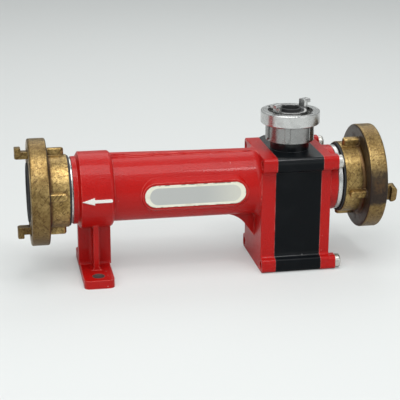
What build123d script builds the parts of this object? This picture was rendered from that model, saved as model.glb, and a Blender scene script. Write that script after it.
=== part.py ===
from build123d import *
import os
from math import cos, degrees, radians, sin, sqrt

# Inline foam proportioner: water enters at the right through a brass lug coupling, is squeezed by a
# jet nozzle inside the black valve block, sucks foam agent in from the small coupling on top and
# leaves through the diffuser in the red tube. Millimetres, +Z up. The origin is on the floor under
# the middle of the foot, +X runs upstream along the water way and +Y to the back, away from the label.

# Fits between pieces, and the ledge left outside each bayonet slot
slot_ledge = 0.4
fit_clearance = 0.1
running_clearance = 0.05
face_gap = 0.1

# Water way in the red diffuser housing
axis_height = 80.45
tube_radius = 30.5
tube_bore_radius = 26.0
tube_length = 135.4
collar_start = -15.6
collar_length = 32.4
collar_radius = 35.2
collar_lead = 2.4
collar_round = 4.0
neck_length = 4.2
neck_radius = 31.1
tube_foot_round = 4.5

# Ridge along the top of the tube and gusset below it
ridge_width = 6.0
ridge_high = 33.35
ridge_low = 30.85
ridge_round = 1.4
gusset_width = 7.0
gusset_radius = 26.0
gusset_turn = 54.0
gusset_reach = 30.1

# Raised pad for the label, and the label plate on it
pad_centre_x = 90.25
pad_drop = 0.25
pad_length = 97.2
pad_height = 24.6
pad_stand_off = 32.5
pad_slope = 28.0
label_length = 93.1
label_height = 20.5
label_thickness = 0.8

# Raised arrow on the collar, pointing to the outlet
arrow_tip_x = -13.0
arrow_length = 27.4
arrow_head_length = 11.3
arrow_head_height = 6.8
arrow_shaft_height = 3.0
arrow_relief = 0.8
arrow_drop = 0.85

# Foot and pedestal
foot_length = 27.6
foot_width = 92.4
foot_thickness = 8.0
foot_corner = 5.0
foot_hole_radius = 5.5
foot_hole_spacing = 69.0
pedestal_length = 30.2
pedestal_thickness = 8.0
pedestal_rib_thickness = 5.0
pedestal_rib_width = 40.0
pedestal_round = 3.2
pedestal_edge_round = 0.8

# Flange outline that the two red plates and the black block share, deeper behind the water way
flange_rise = 30.75
ear_front_depth = 37.5
ear_back_depth = 43.5
waist_step = 6.6
ear_height = 13.6
ear_round = 3.2
plate_corner = 4.2
block_corner = 4.6
plate_edge_round = 1.0
outlet_plate_thickness = 13.1
block_thickness = 43.4
inlet_plate_thickness = 9.5
ear_boss_height = 5.0
ear_boss_width = 13.4
inlet_boss_length = 7.3
inlet_boss_radius = 30.6

# Clamp screws, size M8 with low round heads
screw_radius = 4.0
screw_hole_radius = 4.5
screw_head_radius = 6.5
screw_head_height = 5.5
screw_inset = 6.3
screw_edge = 7.0
screw_head_round = 2.2
screw_end_inset = 2.2
hex_socket_width = 5.0
hex_socket_depth = 2.8

# Threaded nipples and the flat rings that seal them
thread_radius = 28.4
nipple_bore_radius = 24.5
nipple_depth = 14.0
inlet_nipple_depth = 10.8
shoulder_radius = 30.5
outlet_shoulder_length = 2.2
inlet_shoulder_length = 5.5
joint_ring_radius = 32.3
joint_ring_thickness = 1.6
shoulder_round = 0.3

# Large lug couplings, lugs 66 apart
c_ring_radius = 49.0
c_ring_length = 16.6
c_hub_radius = 33.3
c_hub_length = 18.2
c_hub_round = 3.0
c_cavity_radius = 45.0
c_cavity_depth = 12.0
c_lip_radius = 40.6
c_lip_thickness = 5.0
c_core_radius = 33.0
c_pocket_radius = 30.6
c_pocket_depth = 5.0
c_thread_stop = 13.0
c_lug_neck_radius = 38.4
c_lug_head_radius = 42.0
c_lug_head_length = 5.7
c_lug_reach = 11.6
c_lug_width = 15.0
c_lug_corner = 4.2
c_rib_count = 4
c_rib_radius = 40.0
c_rib_width = 7.0
c_rib_inset = 2.0
c_rib_round = 1.8
c_ring_round = 1.8
c_seal_lip = 1.6
c_seal_lip_width = 2.6
outlet_turn = 8.0
inlet_turn = -11.0

# Small lug coupling of the foam port, lugs 31 apart
d_ring_radius = 27.5
d_ring_length = 11.6
d_hub_radius = 22.5
d_hub_length = 15.8
d_hub_round = 2.0
d_cavity_radius = 24.0
d_cavity_depth = 8.5
d_lip_radius = 21.0
d_lip_thickness = 3.4
d_core_radius = 15.4
d_pocket_radius = 12.9
d_pocket_depth = 4.0
d_lug_neck_radius = 19.0
d_lug_head_radius = 22.6
d_lug_head_length = 3.4
d_lug_reach = 8.2
d_lug_width = 8.0
d_lug_corner = 2.0
d_rib_count = 6
d_rib_radius = 24.0
d_rib_width = 5.0
d_rib_inset = 0.8
d_rib_round = 0.5
d_ring_round = 0.9
d_seal_lip = 2.6
d_seal_lip_width = 1.6
d_seal_bore_radius = 8.15
foam_turn = 30.0
foam_rib_turn = 40.0

# Foam way through the black block
foam_port_offset = 20.1
neck_boss_radius = 18.2
neck_boss_height = 8.0
spigot_radius = 16.4
spigot_height = 12.8
foam_ring_thickness = 0.8
ball_radius = 7.0
ball_travel = 3.4
chamber_radius = 10.5
ball_stop_bar = 2.0
ball_stop_height = 4.0
ball_stop_wall = 1.8
seat_radius = 11.5
seat_bore_radius = 5.5
seat_height = 8.27
seat_cone_height = 2.0

# Dosing valve behind the mixing chamber, at the height of the water way, turned by the knob at the back
plug_radius = 4.0
plug_wall = 3.0
plug_port_depth = 5.5
plug_ring_radius = 0.6
metering_way_radius = 2.4
metering_way_start = 6.0
boss_radius = 15.2
boss_height = 7.1
plug_collar_radius = 6.5
plug_collar_length = 2.8
shaft_flat = 0.6
bonnet_thickness = 3.0
bonnet_screw_offset_radius = 10.5
bonnet_screw_count = 3
bonnet_screw_radius = 1.5
bonnet_screw_head_radius = 2.9
bonnet_screw_length = 6.0
knob_radius = 30.2
knob_length = 10.5
knob_gap = 0.6
knob_bore_depth = 5.0
knob_web = 2.4
knob_round = 2.0
flute_count = 12
flute_radius = 3.6
flute_depth = 1.5
knob_screw_radius = 1.5
knob_screw_head_radius = 2.8
knob_screw_head_height = 2.2
knob_screw_length = 10.0

# Mixing chamber, jet nozzle and diffuser
cavity_radius = 11.0
cavity_mouth_radius = 21.5
cavity_cone_start = 27.4
jet_gap = 6.0
nozzle_bore_radius = 5.5
nozzle_mouth_radius = 21.2
nozzle_wall = 2.5
nozzle_flange_radius = 27.0
nozzle_flange_thickness = 5.0
inlet_web_radius = 23.0
throat_radius = 7.5
throat_length = 22.0
mouth_wall = 2.5
mouth_lead = 2.0
diffuser_exit_radius = 23.5
diffuser_flange_radius = 28.0
diffuser_flange_thickness = 5.0
diffuser_root_radius = 11.5
diffuser_land_length = 8.0
o_ring_radius = 0.9
groove_side_clearance = 0.1
inlet_face_ring_radius = 23.9
outlet_face_ring_radius = 20.0

# Stations along the water way, from the outlet to the inlet
collar_end = collar_start + collar_length
neck_face = collar_start - neck_length
plate_face = collar_end + tube_length
block_left = plate_face + outlet_plate_thickness
block_right = block_left + block_thickness
inlet_plate_face = block_right + inlet_plate_thickness
ear_boss_face = inlet_plate_face + ear_boss_height
inlet_boss_face = inlet_plate_face + inlet_boss_length
c_length = c_ring_length + c_hub_length
outlet_hub_end = neck_face - outlet_shoulder_length - joint_ring_thickness
outlet_face_x = outlet_hub_end - c_length
inlet_hub_end = inlet_boss_face + inlet_shoulder_length + joint_ring_thickness
inlet_face_x = inlet_hub_end + c_length
foam_port_x = block_left + foam_port_offset

# Stations across the flanges
flange_height = axis_height + flange_rise
waist_front_depth = ear_front_depth - waist_step
waist_back_depth = ear_back_depth - waist_step

# Stations up the foam way
neck_top = flange_height + neck_boss_height
spigot_top = neck_top + spigot_height
d_length = d_ring_length + d_hub_length
foam_hub_end = neck_top + foam_ring_thickness
foam_face_z = foam_hub_end + d_length
d_thread_stop = foam_face_z - spigot_top - face_gap
seat_edge_z = spigot_top - seat_height
ball_rest_z = seat_edge_z - ball_travel - face_gap - sqrt(ball_radius**2 - seat_bore_radius**2)
chamber_floor_z = ball_rest_z - ball_radius - face_gap - ball_stop_bar

# Stations of the dosing valve, towards the back
plug_front_y = cavity_radius + plug_wall
plug_port_y = plug_front_y + plug_port_depth
boss_face_y = waist_back_depth + boss_height
knob_front_y = boss_face_y + bonnet_thickness + knob_gap
knob_back_y = knob_front_y + knob_length
shaft_end_y = knob_front_y + knob_bore_depth - face_gap
knob_web_y = knob_front_y + knob_bore_depth + knob_web
collar_seat_y = boss_face_y - plug_collar_length - face_gap

# Each groove takes a ring of its section with a little room on every side
groove_depth = 2 * o_ring_radius + groove_side_clearance
groove_width = 2 * (o_ring_radius + groove_side_clearance)
plug_groove_depth = 2 * plug_ring_radius + groove_side_clearance
plug_groove_width = 2 * (plug_ring_radius + groove_side_clearance)

water_axis = Axis((0, 0, axis_height), (1, 0, 0))
foam_axis = Axis((foam_port_x, 0, 0), (0, 0, 1))
knob_axis = Axis((foam_port_x, 0, axis_height), (0, 1, 0))
screw_spots = [
    (depth, height)
    for depth in (screw_inset - ear_front_depth, ear_back_depth - screw_inset)
    for height in (screw_edge, flange_height - screw_edge)
]

outlet_face = Plane(
    origin=(outlet_face_x, 0, axis_height),
    x_dir=(0, sin(radians(outlet_turn)), cos(radians(outlet_turn))),
    z_dir=(-1, 0, 0),
)
inlet_face = Plane(
    origin=(inlet_face_x, 0, axis_height),
    x_dir=(0, -cos(radians(inlet_turn)), sin(radians(inlet_turn))),
    z_dir=(1, 0, 0),
)
foam_face = Plane(
    origin=(foam_port_x, 0, foam_face_z),
    x_dir=(cos(radians(foam_turn)), sin(radians(foam_turn)), 0),
    z_dir=(0, 0, 1),
)


def across(x):
    """Plane square to the water way at station x, with its origin on the water axis."""
    return Plane(origin=(x, 0, axis_height), x_dir=(0, 1, 0), z_dir=(1, 0, 0))


def behind(y):
    """Plane that faces the back at depth y, with its origin on the knob's axis."""
    return Plane(origin=(foam_port_x, y, axis_height), x_dir=(-1, 0, 0), z_dir=(0, 1, 0))


def turned(face, azimuth):
    """The plane of a face, turned about its own normal."""
    x_dir = face.x_dir * cos(radians(azimuth)) + face.y_dir * sin(radians(azimuth))
    return Plane(origin=face.origin, x_dir=x_dir, z_dir=face.z_dir)


def radial(face, azimuth):
    """Plane through a face's axis: its x runs out at that azimuth and its y runs out of the face."""
    front = turned(face, azimuth)
    return Plane(origin=front.origin, x_dir=front.x_dir, z_dir=-front.y_dir)


os.makedirs("parts", exist_ok=True)


def finish(piece, name):
    """Label a finished piece and write it."""
    piece.part.label = name
    export_step(piece.part, f"parts/{name}.step")


def flange_outline(x, corner):
    """Outline with an ear band at the top and the bottom, on the plane at station x."""
    upper_ear = flange_height - ear_height
    turn = min(ear_round, 0.48 * waist_step)
    points = [
        (-ear_front_depth, 0),
        (ear_back_depth, 0),
        (ear_back_depth, ear_height),
        (waist_back_depth, ear_height),
        (waist_back_depth, upper_ear),
        (ear_back_depth, upper_ear),
        (ear_back_depth, flange_height),
        (-ear_front_depth, flange_height),
        (-ear_front_depth, upper_ear),
        (-waist_front_depth, upper_ear),
        (-waist_front_depth, ear_height),
        (-ear_front_depth, ear_height),
    ]
    radii = [corner, corner, turn, turn, turn, turn] * 2
    with BuildSketch(Plane.YZ.offset(x)) as outline:
        with BuildLine():
            FilletPolyline(*points, radius=radii, close=True)
        make_face()
    return outline.sketch


def rounded_plate(x_start, x_end, round_start):
    """Plate of the flange outline, with one of its two faces rounded along its edge."""
    with BuildPart() as plate:
        extrude(flange_outline(x_start, plate_corner), amount=x_end - x_start)
        faces = plate.faces().sort_by(Axis.X)
        rounded = faces[0] if round_start else faces[-1]
        fillet(rounded.edges(), plate_edge_round)
    return plate.part


def lug(face, azimuth, width, reach, root_depth, inner, neck, head, head_length, edge_round, corner):
    """Bayonet lug that stands out of a coupling's face and hooks outwards, with rounded corners."""
    half_angle = degrees(width / (inner + neck))
    with BuildPart() as hook:
        with BuildSketch(radial(face, azimuth - half_angle)) as section:
            with BuildLine():
                Polyline(
                    (inner, -root_depth),
                    (neck, -root_depth),
                    (neck, reach - head_length),
                    (head, reach - head_length),
                    (head, reach),
                    (inner, reach),
                    close=True,
                )
            make_face()
            fillet(section.vertices().filter_by(lambda v: v.X > neck + edge_round), edge_round)
        revolve(axis=Axis(face.origin, face.z_dir), revolution_arc=2 * half_angle)
        outward = turned(face, azimuth).x_dir
        with BuildSketch(Plane(origin=face.origin, x_dir=face.z_dir, z_dir=outward)) as outline:
            with Locations(((reach - root_depth) / 2, 0)):
                Rectangle(reach + root_depth, width)
            fillet(outline.vertices().sort_by(Axis.X)[-2:], corner)
        extrude(amount=head + edge_round, mode=Mode.INTERSECT)
    return hook.part


def spanner_rib(face, azimuth, crest_radius, root_radius, start, end, width, crest_round):
    """Rib along a coupling's hub that a hook spanner catches, rounded at its ends and crest."""
    outward = turned(face, azimuth).x_dir
    crest = Plane(origin=face.origin + outward * crest_radius, x_dir=face.z_dir, z_dir=outward)
    with BuildPart() as rib:
        with BuildSketch(crest):
            with Locations((-(start + end) / 2, 0)):
                SlotOverall(end - start, width)
        extrude(amount=root_radius - crest_radius)
        top = rib.faces().sort_by_distance(face.origin + outward * (crest_radius + width))[0]
        fillet(top.edges(), crest_round)
    return rib.part


def lug_coupling(
    face,
    ring_radius,
    ring_length,
    ring_round,
    hub_radius,
    hub_round,
    length,
    bore_radius,
    thread_stop,
    way_radius,
    pocket_radius,
    pocket_depth,
    core_radius,
    cavity_radius,
    cavity_depth,
    lip_radius,
    lip_thickness,
    lug_neck,
    lug_head,
    lug_head_length,
    lug_reach,
    lug_width,
    lug_corner,
    rib_count,
    rib_radius,
    rib_width,
    rib_inset,
    rib_round,
    rib_turn,
):
    """One-piece lug coupling: a ring with bayonet slots, two lugs, and a hub with spanner ribs."""
    axis = Axis(face.origin, face.z_dir)
    slot_half_angle = 1.5 * degrees(lug_width / (core_radius + lug_neck))
    with BuildPart() as coupling:
        # The section stands clear of the ribs, lugs and slots, so that no seam runs through them
        with BuildSketch(radial(face, 60)) as section:
            with BuildLine():
                Polyline(
                    (pocket_radius, 0),
                    (core_radius, 0),
                    (core_radius, -cavity_depth),
                    (cavity_radius, -cavity_depth),
                    (cavity_radius, -lip_thickness),
                    (lip_radius, -lip_thickness),
                    (lip_radius, 0),
                    (ring_radius, 0),
                    (ring_radius, -ring_length),
                    (hub_radius, -ring_length),
                    (hub_radius, -length),
                    (bore_radius, -length),
                    (bore_radius, -thread_stop),
                    (way_radius, -thread_stop),
                    (way_radius, -pocket_depth),
                    (pocket_radius, -pocket_depth),
                    close=True,
                )
            make_face()
            fillet(section.vertices().filter_by(lambda v: v.X > ring_radius - 0.01), ring_round)
            hub_corners = section.vertices().filter_by(lambda v: abs(v.X - hub_radius) < 0.01)
            fillet(hub_corners.sort_by(Axis.Y)[-1], hub_round)
            chamfer(hub_corners.sort_by(Axis.Y)[0], hub_round / 2)
        revolve(axis=axis)
        for azimuth in (90, 270):
            with BuildSketch(radial(face, azimuth - slot_half_angle)):
                with BuildLine():
                    Polyline(
                        (lip_radius - 1, -lip_thickness - 1),
                        (cavity_radius - slot_ledge, -lip_thickness - 1),
                        (cavity_radius - slot_ledge, 1),
                        (lip_radius - 1, 1),
                        close=True,
                    )
                make_face()
            revolve(axis=axis, revolution_arc=2 * slot_half_angle, mode=Mode.SUBTRACT)
        # Each rib starts inside the ring's back wall, behind the cavity
        rib_start = (cavity_depth + ring_length - rib_width / 2) / 2
        for index in range(rib_count):
            add(
                spanner_rib(
                    face,
                    rib_turn + 360 * index / rib_count,
                    rib_radius,
                    hub_radius - ring_round,
                    rib_start,
                    length - rib_inset,
                    rib_width,
                    rib_round,
                )
            )
        for azimuth in (0, 180):
            add(
                lug(
                    face,
                    azimuth,
                    lug_width,
                    lug_reach,
                    cavity_depth + ring_round,
                    core_radius - ring_round / 2,
                    lug_neck,
                    lug_head,
                    lug_head_length,
                    ring_round / 2,
                    lug_corner,
                )
            )
    return coupling


def face_seal(face, bore, outer, depth, stand_proud, lip_width):
    """Rubber ring in a coupling's face pocket, with a rounded lip that stands a little proud."""
    with BuildPart() as seal:
        with BuildSketch(radial(face, 0)) as section:
            with BuildLine():
                Polyline(
                    (bore, -depth),
                    (outer, -depth),
                    (outer, 0),
                    (bore + lip_width, 0),
                    (bore + lip_width, stand_proud),
                    (bore, stand_proud),
                    close=True,
                )
            make_face()
            fillet(section.vertices().filter_by(lambda v: v.Y > 0.01), 0.45 * min(stand_proud, lip_width))
        revolve(axis=Axis(face.origin, face.z_dir))
    return seal


def o_ring(section_plane, axis, offset, radius, section_radius):
    """Rubber ring of round section about an axis."""
    with BuildPart() as ring:
        with BuildSketch(section_plane):
            with Locations((offset, radius)):
                Circle(section_radius)
        revolve(axis=axis)
    return ring


def flat_ring(plane, bore, outer, thickness):
    """Flat sealing ring that lies on a plane."""
    with BuildPart() as ring:
        with BuildSketch(plane):
            Circle(outer)
            Circle(bore, mode=Mode.SUBTRACT)
        extrude(amount=thickness)
    return ring


# Section planes: x along the piece's own axis, y outwards from it
water_section = Plane(origin=(0, 0, axis_height), x_dir=(1, 0, 0), z_dir=(0, -1, 0))
knob_section = Plane(origin=(foam_port_x, 0, axis_height), x_dir=(0, 1, 0), z_dir=(1, 0, 0))
foam_section = Plane(origin=(foam_port_x, 0, 0), x_dir=(1, 0, 0), z_dir=(0, -1, 0))

bore_radius = thread_radius + fit_clearance
outlet_thread_end = neck_face + nipple_depth + 2 * face_gap
inlet_thread_end = inlet_boss_face - inlet_nipple_depth - 2 * face_gap
diffuser_recess_x = block_left - diffuser_flange_thickness
nozzle_recess_x = block_right + nozzle_flange_thickness

# Flare where the tube runs into the plate, cut off by the plate's own outline
with BuildPart() as tube_flare:
    with BuildSketch(water_section) as section:
        with BuildLine():
            flare_start = plate_face - tube_foot_round
            flare_radius = tube_radius + tube_foot_round
            RadiusArc((flare_start, tube_radius), (plate_face, flare_radius), -tube_foot_round)
            Polyline(
                (plate_face, flare_radius),
                (plate_face, tube_bore_radius),
                (flare_start, tube_bore_radius),
                (flare_start, tube_radius),
            )
        make_face()
    revolve(axis=water_axis)
    extrude(flange_outline(flare_start, plate_corner), amount=tube_foot_round, mode=Mode.INTERSECT)

# Arrow in relief, bent round the collar
with BuildPart() as arrow:
    with BuildSketch(Plane.XZ.offset(tube_radius)):
        middle = axis_height - arrow_drop
        with BuildLine():
            tail = arrow_tip_x + arrow_length - arrow_shaft_height / 2
            neck = arrow_tip_x + arrow_head_length
            shaft = arrow_shaft_height / 2
            head = arrow_head_height / 2
            Polyline(
                (tail, middle + shaft),
                (neck, middle + shaft),
                (neck, middle + head),
                (arrow_tip_x, middle),
                (neck, middle - head),
                (neck, middle - shaft),
                (tail, middle - shaft),
            )
            RadiusArc((tail, middle - shaft), (tail, middle + shaft), -shaft)
        make_face()
    extrude(amount=collar_radius)
    with BuildSketch(across(collar_start)):
        Circle(collar_radius + arrow_relief)
    extrude(amount=collar_length, mode=Mode.INTERSECT)

# Ridge along the top of the tube, with hollow roots and a top that falls a little towards the plate
with BuildPart() as ridge:
    ridge_start = collar_end - collar_round
    ridge_side = ridge_width / 2
    ridge_root = sqrt(tube_radius**2 - ridge_side**2)
    with BuildSketch(across(ridge_start)):
        with BuildLine():
            RadiusArc(
                (ridge_side, ridge_root + ridge_round), (ridge_side + ridge_round, ridge_root), ridge_round
            )
            Polyline(
                (ridge_side + ridge_round, ridge_root),
                (ridge_side + ridge_round, tube_bore_radius + 1),
                (-ridge_side - ridge_round, tube_bore_radius + 1),
                (-ridge_side - ridge_round, ridge_root),
            )
            RadiusArc(
                (-ridge_side - ridge_round, ridge_root), (-ridge_side, ridge_root + ridge_round), ridge_round
            )
            Polyline(
                (-ridge_side, ridge_root + ridge_round),
                (-ridge_side, ridge_high + 1),
                (ridge_side, ridge_high + 1),
                (ridge_side, ridge_root + ridge_round),
            )
        make_face()
    extrude(amount=plate_face + 1 - ridge_start)
    with BuildSketch(water_section):
        with BuildLine():
            Polyline(
                (ridge_start, tube_bore_radius + 1),
                (ridge_start, ridge_high),
                (plate_face + 1, ridge_low),
                (plate_face + 1, tube_bore_radius + 1),
                close=True,
            )
        make_face()
    extrude(amount=ridge_width, both=True, mode=Mode.INTERSECT)

# Pedestal wall and cross rib, each with hollow roots on the foot
with BuildPart() as pedestal:
    pedestal_top = axis_height - 0.7 * collar_radius
    for plane, thickness, length in (
        (Plane.YZ, pedestal_thickness, pedestal_length),
        (Plane.XZ, pedestal_rib_thickness, pedestal_rib_width),
    ):
        with BuildSketch(plane):
            with Locations((0, (foot_thickness + pedestal_top) / 2)):
                Rectangle(thickness, pedestal_top - foot_thickness)
        extrude(amount=length / 2, both=True)
    with BuildSketch(Plane.XY.offset(foot_thickness)):
        Rectangle(pedestal_rib_thickness + 2 * pedestal_round, pedestal_thickness + 2 * pedestal_round)
    extrude(amount=pedestal_top - foot_thickness)
    with BuildSketch(Plane.XY.offset(foot_thickness)):
        for side_x in (-1, 1):
            for side_y in (-1, 1):
                with Locations(
                    (
                        side_x * (pedestal_rib_thickness / 2 + pedestal_round),
                        side_y * (pedestal_thickness / 2 + pedestal_round),
                    )
                ):
                    Circle(pedestal_round)
    extrude(amount=pedestal_top - foot_thickness, mode=Mode.SUBTRACT)
    upright = pedestal.edges().filter_by(Axis.Z)
    outermost = upright.filter_by(lambda edge: abs(edge.center().X) > pedestal_length / 2 - 0.01)
    outermost += upright.filter_by(lambda edge: abs(edge.center().Y) > pedestal_rib_width / 2 - 0.01)
    fillet(outermost, pedestal_edge_round)
    for plane, thickness, length in (
        (Plane.YZ, pedestal_thickness, foot_length),
        (Plane.XZ, pedestal_rib_thickness, pedestal_rib_width),
    ):
        inner = thickness / 2
        outer = inner + pedestal_round
        with BuildSketch(plane):
            with BuildLine():
                RadiusArc((outer, foot_thickness), (inner, foot_thickness + pedestal_round), pedestal_round)
                Polyline(
                    (inner, foot_thickness + pedestal_round),
                    (-inner, foot_thickness + pedestal_round),
                )
                RadiusArc(
                    (-inner, foot_thickness + pedestal_round), (-outer, foot_thickness), pedestal_round
                )
                Polyline((-outer, foot_thickness), (outer, foot_thickness))
            make_face()
        extrude(amount=length / 2, both=True)

# Diffuser housing, a single casting with neck, collar, tube, foot and outlet plate
with BuildPart() as diffuser_housing:
    with BuildSketch(water_section) as section:
        with BuildLine():
            Polyline(
                (neck_face, 0),
                (neck_face, neck_radius),
                (collar_start, neck_radius),
                (collar_start + collar_lead, collar_radius),
                (collar_end, collar_radius),
                (collar_end, tube_radius),
                (plate_face + 1, tube_radius),
                (plate_face + 1, 0),
                close=True,
            )
        make_face()
        shoulders = section.vertices().filter_by(lambda v: abs(v.X - collar_end) < 0.01)
        fillet(shoulders.sort_by(Axis.Y)[-1], min(collar_round, 0.85 * (collar_radius - tube_radius)))
    revolve(axis=water_axis)
    add(rounded_plate(plate_face, block_left, True))
    add(tube_flare.part)
    # Pad that carries the label, with sloping walls down to the tube
    with BuildSketch(Plane.XZ.offset(pad_stand_off)):
        with Locations((pad_centre_x, axis_height - pad_drop)):
            SlotOverall(pad_length, pad_height)
    extrude(amount=-(pad_stand_off - 0.68 * tube_radius), taper=-pad_slope)
    add(ridge.part)
    # Gusset below the tube, a curve that runs out into a straight edge at the plate
    with BuildSketch(water_section):
        with BuildLine():
            gusset_start = plate_face - gusset_reach
            bend = JernArc(
                (gusset_start, -tube_radius), (1, 0), gusset_radius, -gusset_turn
            )
            run = (plate_face + 1 - (bend @ 1).X) / (bend % 1).X
            foot_of_gusset = bend @ 1 + (bend % 1) * run
            Polyline(
                bend @ 1,
                foot_of_gusset,
                (plate_face + 1, -tube_radius + 1),
                (gusset_start, -tube_radius + 1),
                (gusset_start, -tube_radius),
            )
        make_face()
    extrude(amount=gusset_width / 2, both=True)
    # Foot
    with BuildSketch(Plane.XY):
        RectangleRounded(foot_length, foot_width, foot_corner)
    extrude(amount=foot_thickness)
    add(pedestal.part)
    add(arrow.part)
    # Bores: nipple thread, diffuser bore, flange recess, screw threads and foot holes
    with BuildSketch(across(neck_face)):
        Circle(bore_radius)
    extrude(amount=outlet_thread_end - neck_face, mode=Mode.SUBTRACT)
    with BuildSketch(across(neck_face)):
        Circle(tube_bore_radius)
    extrude(amount=block_left - neck_face, mode=Mode.SUBTRACT)
    with BuildSketch(across(diffuser_recess_x)):
        Circle(diffuser_flange_radius)
    extrude(amount=diffuser_flange_thickness, mode=Mode.SUBTRACT)
    with BuildSketch(Plane.YZ.offset(plate_face)):
        with Locations(*screw_spots):
            Circle(screw_radius + fit_clearance)
    extrude(amount=outlet_plate_thickness, mode=Mode.SUBTRACT)
    with BuildSketch(Plane.XY):
        with Locations((0, -foot_hole_spacing / 2), (0, foot_hole_spacing / 2)):
            Circle(foot_hole_radius)
    extrude(amount=foot_thickness, mode=Mode.SUBTRACT)
finish(diffuser_housing, "diffuser_housing")

# Inlet housing, a casting with the inlet plate, four screw bosses and the round inlet boss
with BuildPart() as inlet_housing:
    add(rounded_plate(block_right, inlet_plate_face, False))
    with BuildSketch(across(block_right)):
        Circle(inlet_boss_radius)
    extrude(amount=inlet_boss_face - block_right)
    with BuildSketch(Plane.YZ.offset(inlet_plate_face - plate_edge_round)):
        for depth in (ear_boss_width / 2 - ear_front_depth, ear_back_depth - ear_boss_width / 2):
            for height in (ear_height / 2, flange_height - ear_height / 2):
                with Locations((depth, height)):
                    RectangleRounded(ear_boss_width, ear_height, plate_corner)
    extrude(amount=ear_boss_height + plate_edge_round)
    with BuildSketch(across(block_right)):
        Circle(inlet_web_radius)
    extrude(amount=inlet_boss_face - block_right, mode=Mode.SUBTRACT)
    with BuildSketch(across(block_right)):
        Circle(nozzle_flange_radius)
    extrude(amount=nozzle_flange_thickness, mode=Mode.SUBTRACT)
    with BuildSketch(across(inlet_thread_end)):
        Circle(bore_radius)
    extrude(amount=inlet_boss_face - inlet_thread_end, mode=Mode.SUBTRACT)
    with BuildSketch(Plane.YZ.offset(block_right)):
        with Locations(*screw_spots):
            Circle(screw_hole_radius)
    extrude(amount=ear_boss_face - block_right, mode=Mode.SUBTRACT)
finish(inlet_housing, "inlet_housing")

# Valve block between the plates, with the foam neck on top and the dosing boss behind
with BuildPart() as valve_block:
    extrude(flange_outline(block_left, block_corner), amount=block_thickness)
    with BuildSketch(Plane.XY.offset(flange_height - block_corner)):
        with Locations((foam_port_x, 0)):
            Circle(neck_boss_radius)
    extrude(amount=neck_boss_height + block_corner)
    with BuildSketch(Plane.XY.offset(neck_top)):
        with Locations((foam_port_x, 0)):
            Circle(spigot_radius)
    extrude(amount=spigot_height)
    with BuildSketch(behind(waist_back_depth - block_corner)):
        Circle(boss_radius)
    extrude(amount=boss_height + block_corner)
    # Water way: a straight bore for the diffuser's nose and a cone round the jet nozzle
    with BuildSketch(water_section):
        with BuildLine():
            Polyline(
                (block_left - 1, 0),
                (block_left - 1, cavity_radius),
                (block_left + cavity_cone_start, cavity_radius),
                (block_right, cavity_mouth_radius),
                (block_right + 1, cavity_mouth_radius),
                (block_right + 1, 0),
                close=True,
            )
        make_face()
    revolve(axis=water_axis, mode=Mode.SUBTRACT)
    for face_x, ring_radius, outward in (
        (block_left, outlet_face_ring_radius, 1),
        (block_right, inlet_face_ring_radius, -1),
    ):
        with BuildSketch(across(face_x)):
            Circle(ring_radius + groove_width / 2)
            Circle(ring_radius - groove_width / 2, mode=Mode.SUBTRACT)
        extrude(amount=outward * groove_depth, mode=Mode.SUBTRACT)
    with BuildSketch(Plane.YZ.offset(block_left)):
        with Locations(*screw_spots):
            Circle(screw_hole_radius)
    extrude(amount=block_thickness, mode=Mode.SUBTRACT)
    # Foam way: seat pocket, ball chamber and a slanted way back and down to the metering plug
    for floor, radius in ((seat_edge_z, seat_radius), (chamber_floor_z, chamber_radius)):
        with BuildSketch(Plane.XY.offset(floor)):
            with Locations((foam_port_x, 0)):
                Circle(radius)
        extrude(amount=spigot_top - floor, mode=Mode.SUBTRACT)
    way_start = Vector(foam_port_x, metering_way_start, chamber_floor_z + 1)
    way_run = Vector(foam_port_x, plug_port_y, axis_height) - way_start
    with BuildSketch(Plane(origin=way_start, x_dir=(1, 0, 0), z_dir=way_run)):
        Circle(metering_way_radius)
    extrude(amount=way_run.length, mode=Mode.SUBTRACT)
    # Way from the plug into the mixing chamber, bore of the plug and the recess of its collar
    with BuildSketch(behind(0)):
        Circle(metering_way_radius)
    extrude(amount=plug_front_y, mode=Mode.SUBTRACT)
    with BuildSketch(behind(plug_front_y)):
        Circle(plug_radius + running_clearance)
    extrude(amount=boss_face_y - plug_front_y, mode=Mode.SUBTRACT)
    with BuildSketch(behind(collar_seat_y)):
        Circle(plug_collar_radius + fit_clearance)
    extrude(amount=boss_face_y - collar_seat_y, mode=Mode.SUBTRACT)
    with BuildSketch(behind(boss_face_y)):
        with PolarLocations(bonnet_screw_offset_radius, bonnet_screw_count, start_angle=270):
            Circle(bonnet_screw_radius + fit_clearance)
    extrude(amount=bonnet_thickness - bonnet_screw_length, mode=Mode.SUBTRACT)
finish(valve_block, "valve_block")


def nipple(coupling_end, joint_face, body_face, body_end):
    """Threaded sleeve with a shoulder between its two threads."""
    with BuildPart() as sleeve:
        with BuildSketch(water_section) as section:
            with BuildLine():
                Polyline(
                    (coupling_end, nipple_bore_radius),
                    (coupling_end, thread_radius),
                    (joint_face, thread_radius),
                    (joint_face, shoulder_radius),
                    (body_face, shoulder_radius),
                    (body_face, thread_radius),
                    (body_end, thread_radius),
                    (body_end, nipple_bore_radius),
                    close=True,
                )
            make_face()
            shoulder_length = abs(body_face - joint_face)
            corners = section.vertices().filter_by(lambda v: v.Y > shoulder_radius - 0.01)
            fillet(corners, shoulder_round * shoulder_length)
        revolve(axis=water_axis)
    return sleeve


outlet_nipple = nipple(
    outlet_face_x + c_thread_stop + face_gap,
    neck_face - outlet_shoulder_length,
    neck_face,
    neck_face + nipple_depth,
)
finish(outlet_nipple, "outlet_nipple")
inlet_nipple = nipple(
    inlet_face_x - c_thread_stop - face_gap,
    inlet_boss_face + inlet_shoulder_length,
    inlet_boss_face,
    inlet_boss_face - inlet_nipple_depth,
)
finish(inlet_nipple, "inlet_nipple")

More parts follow.
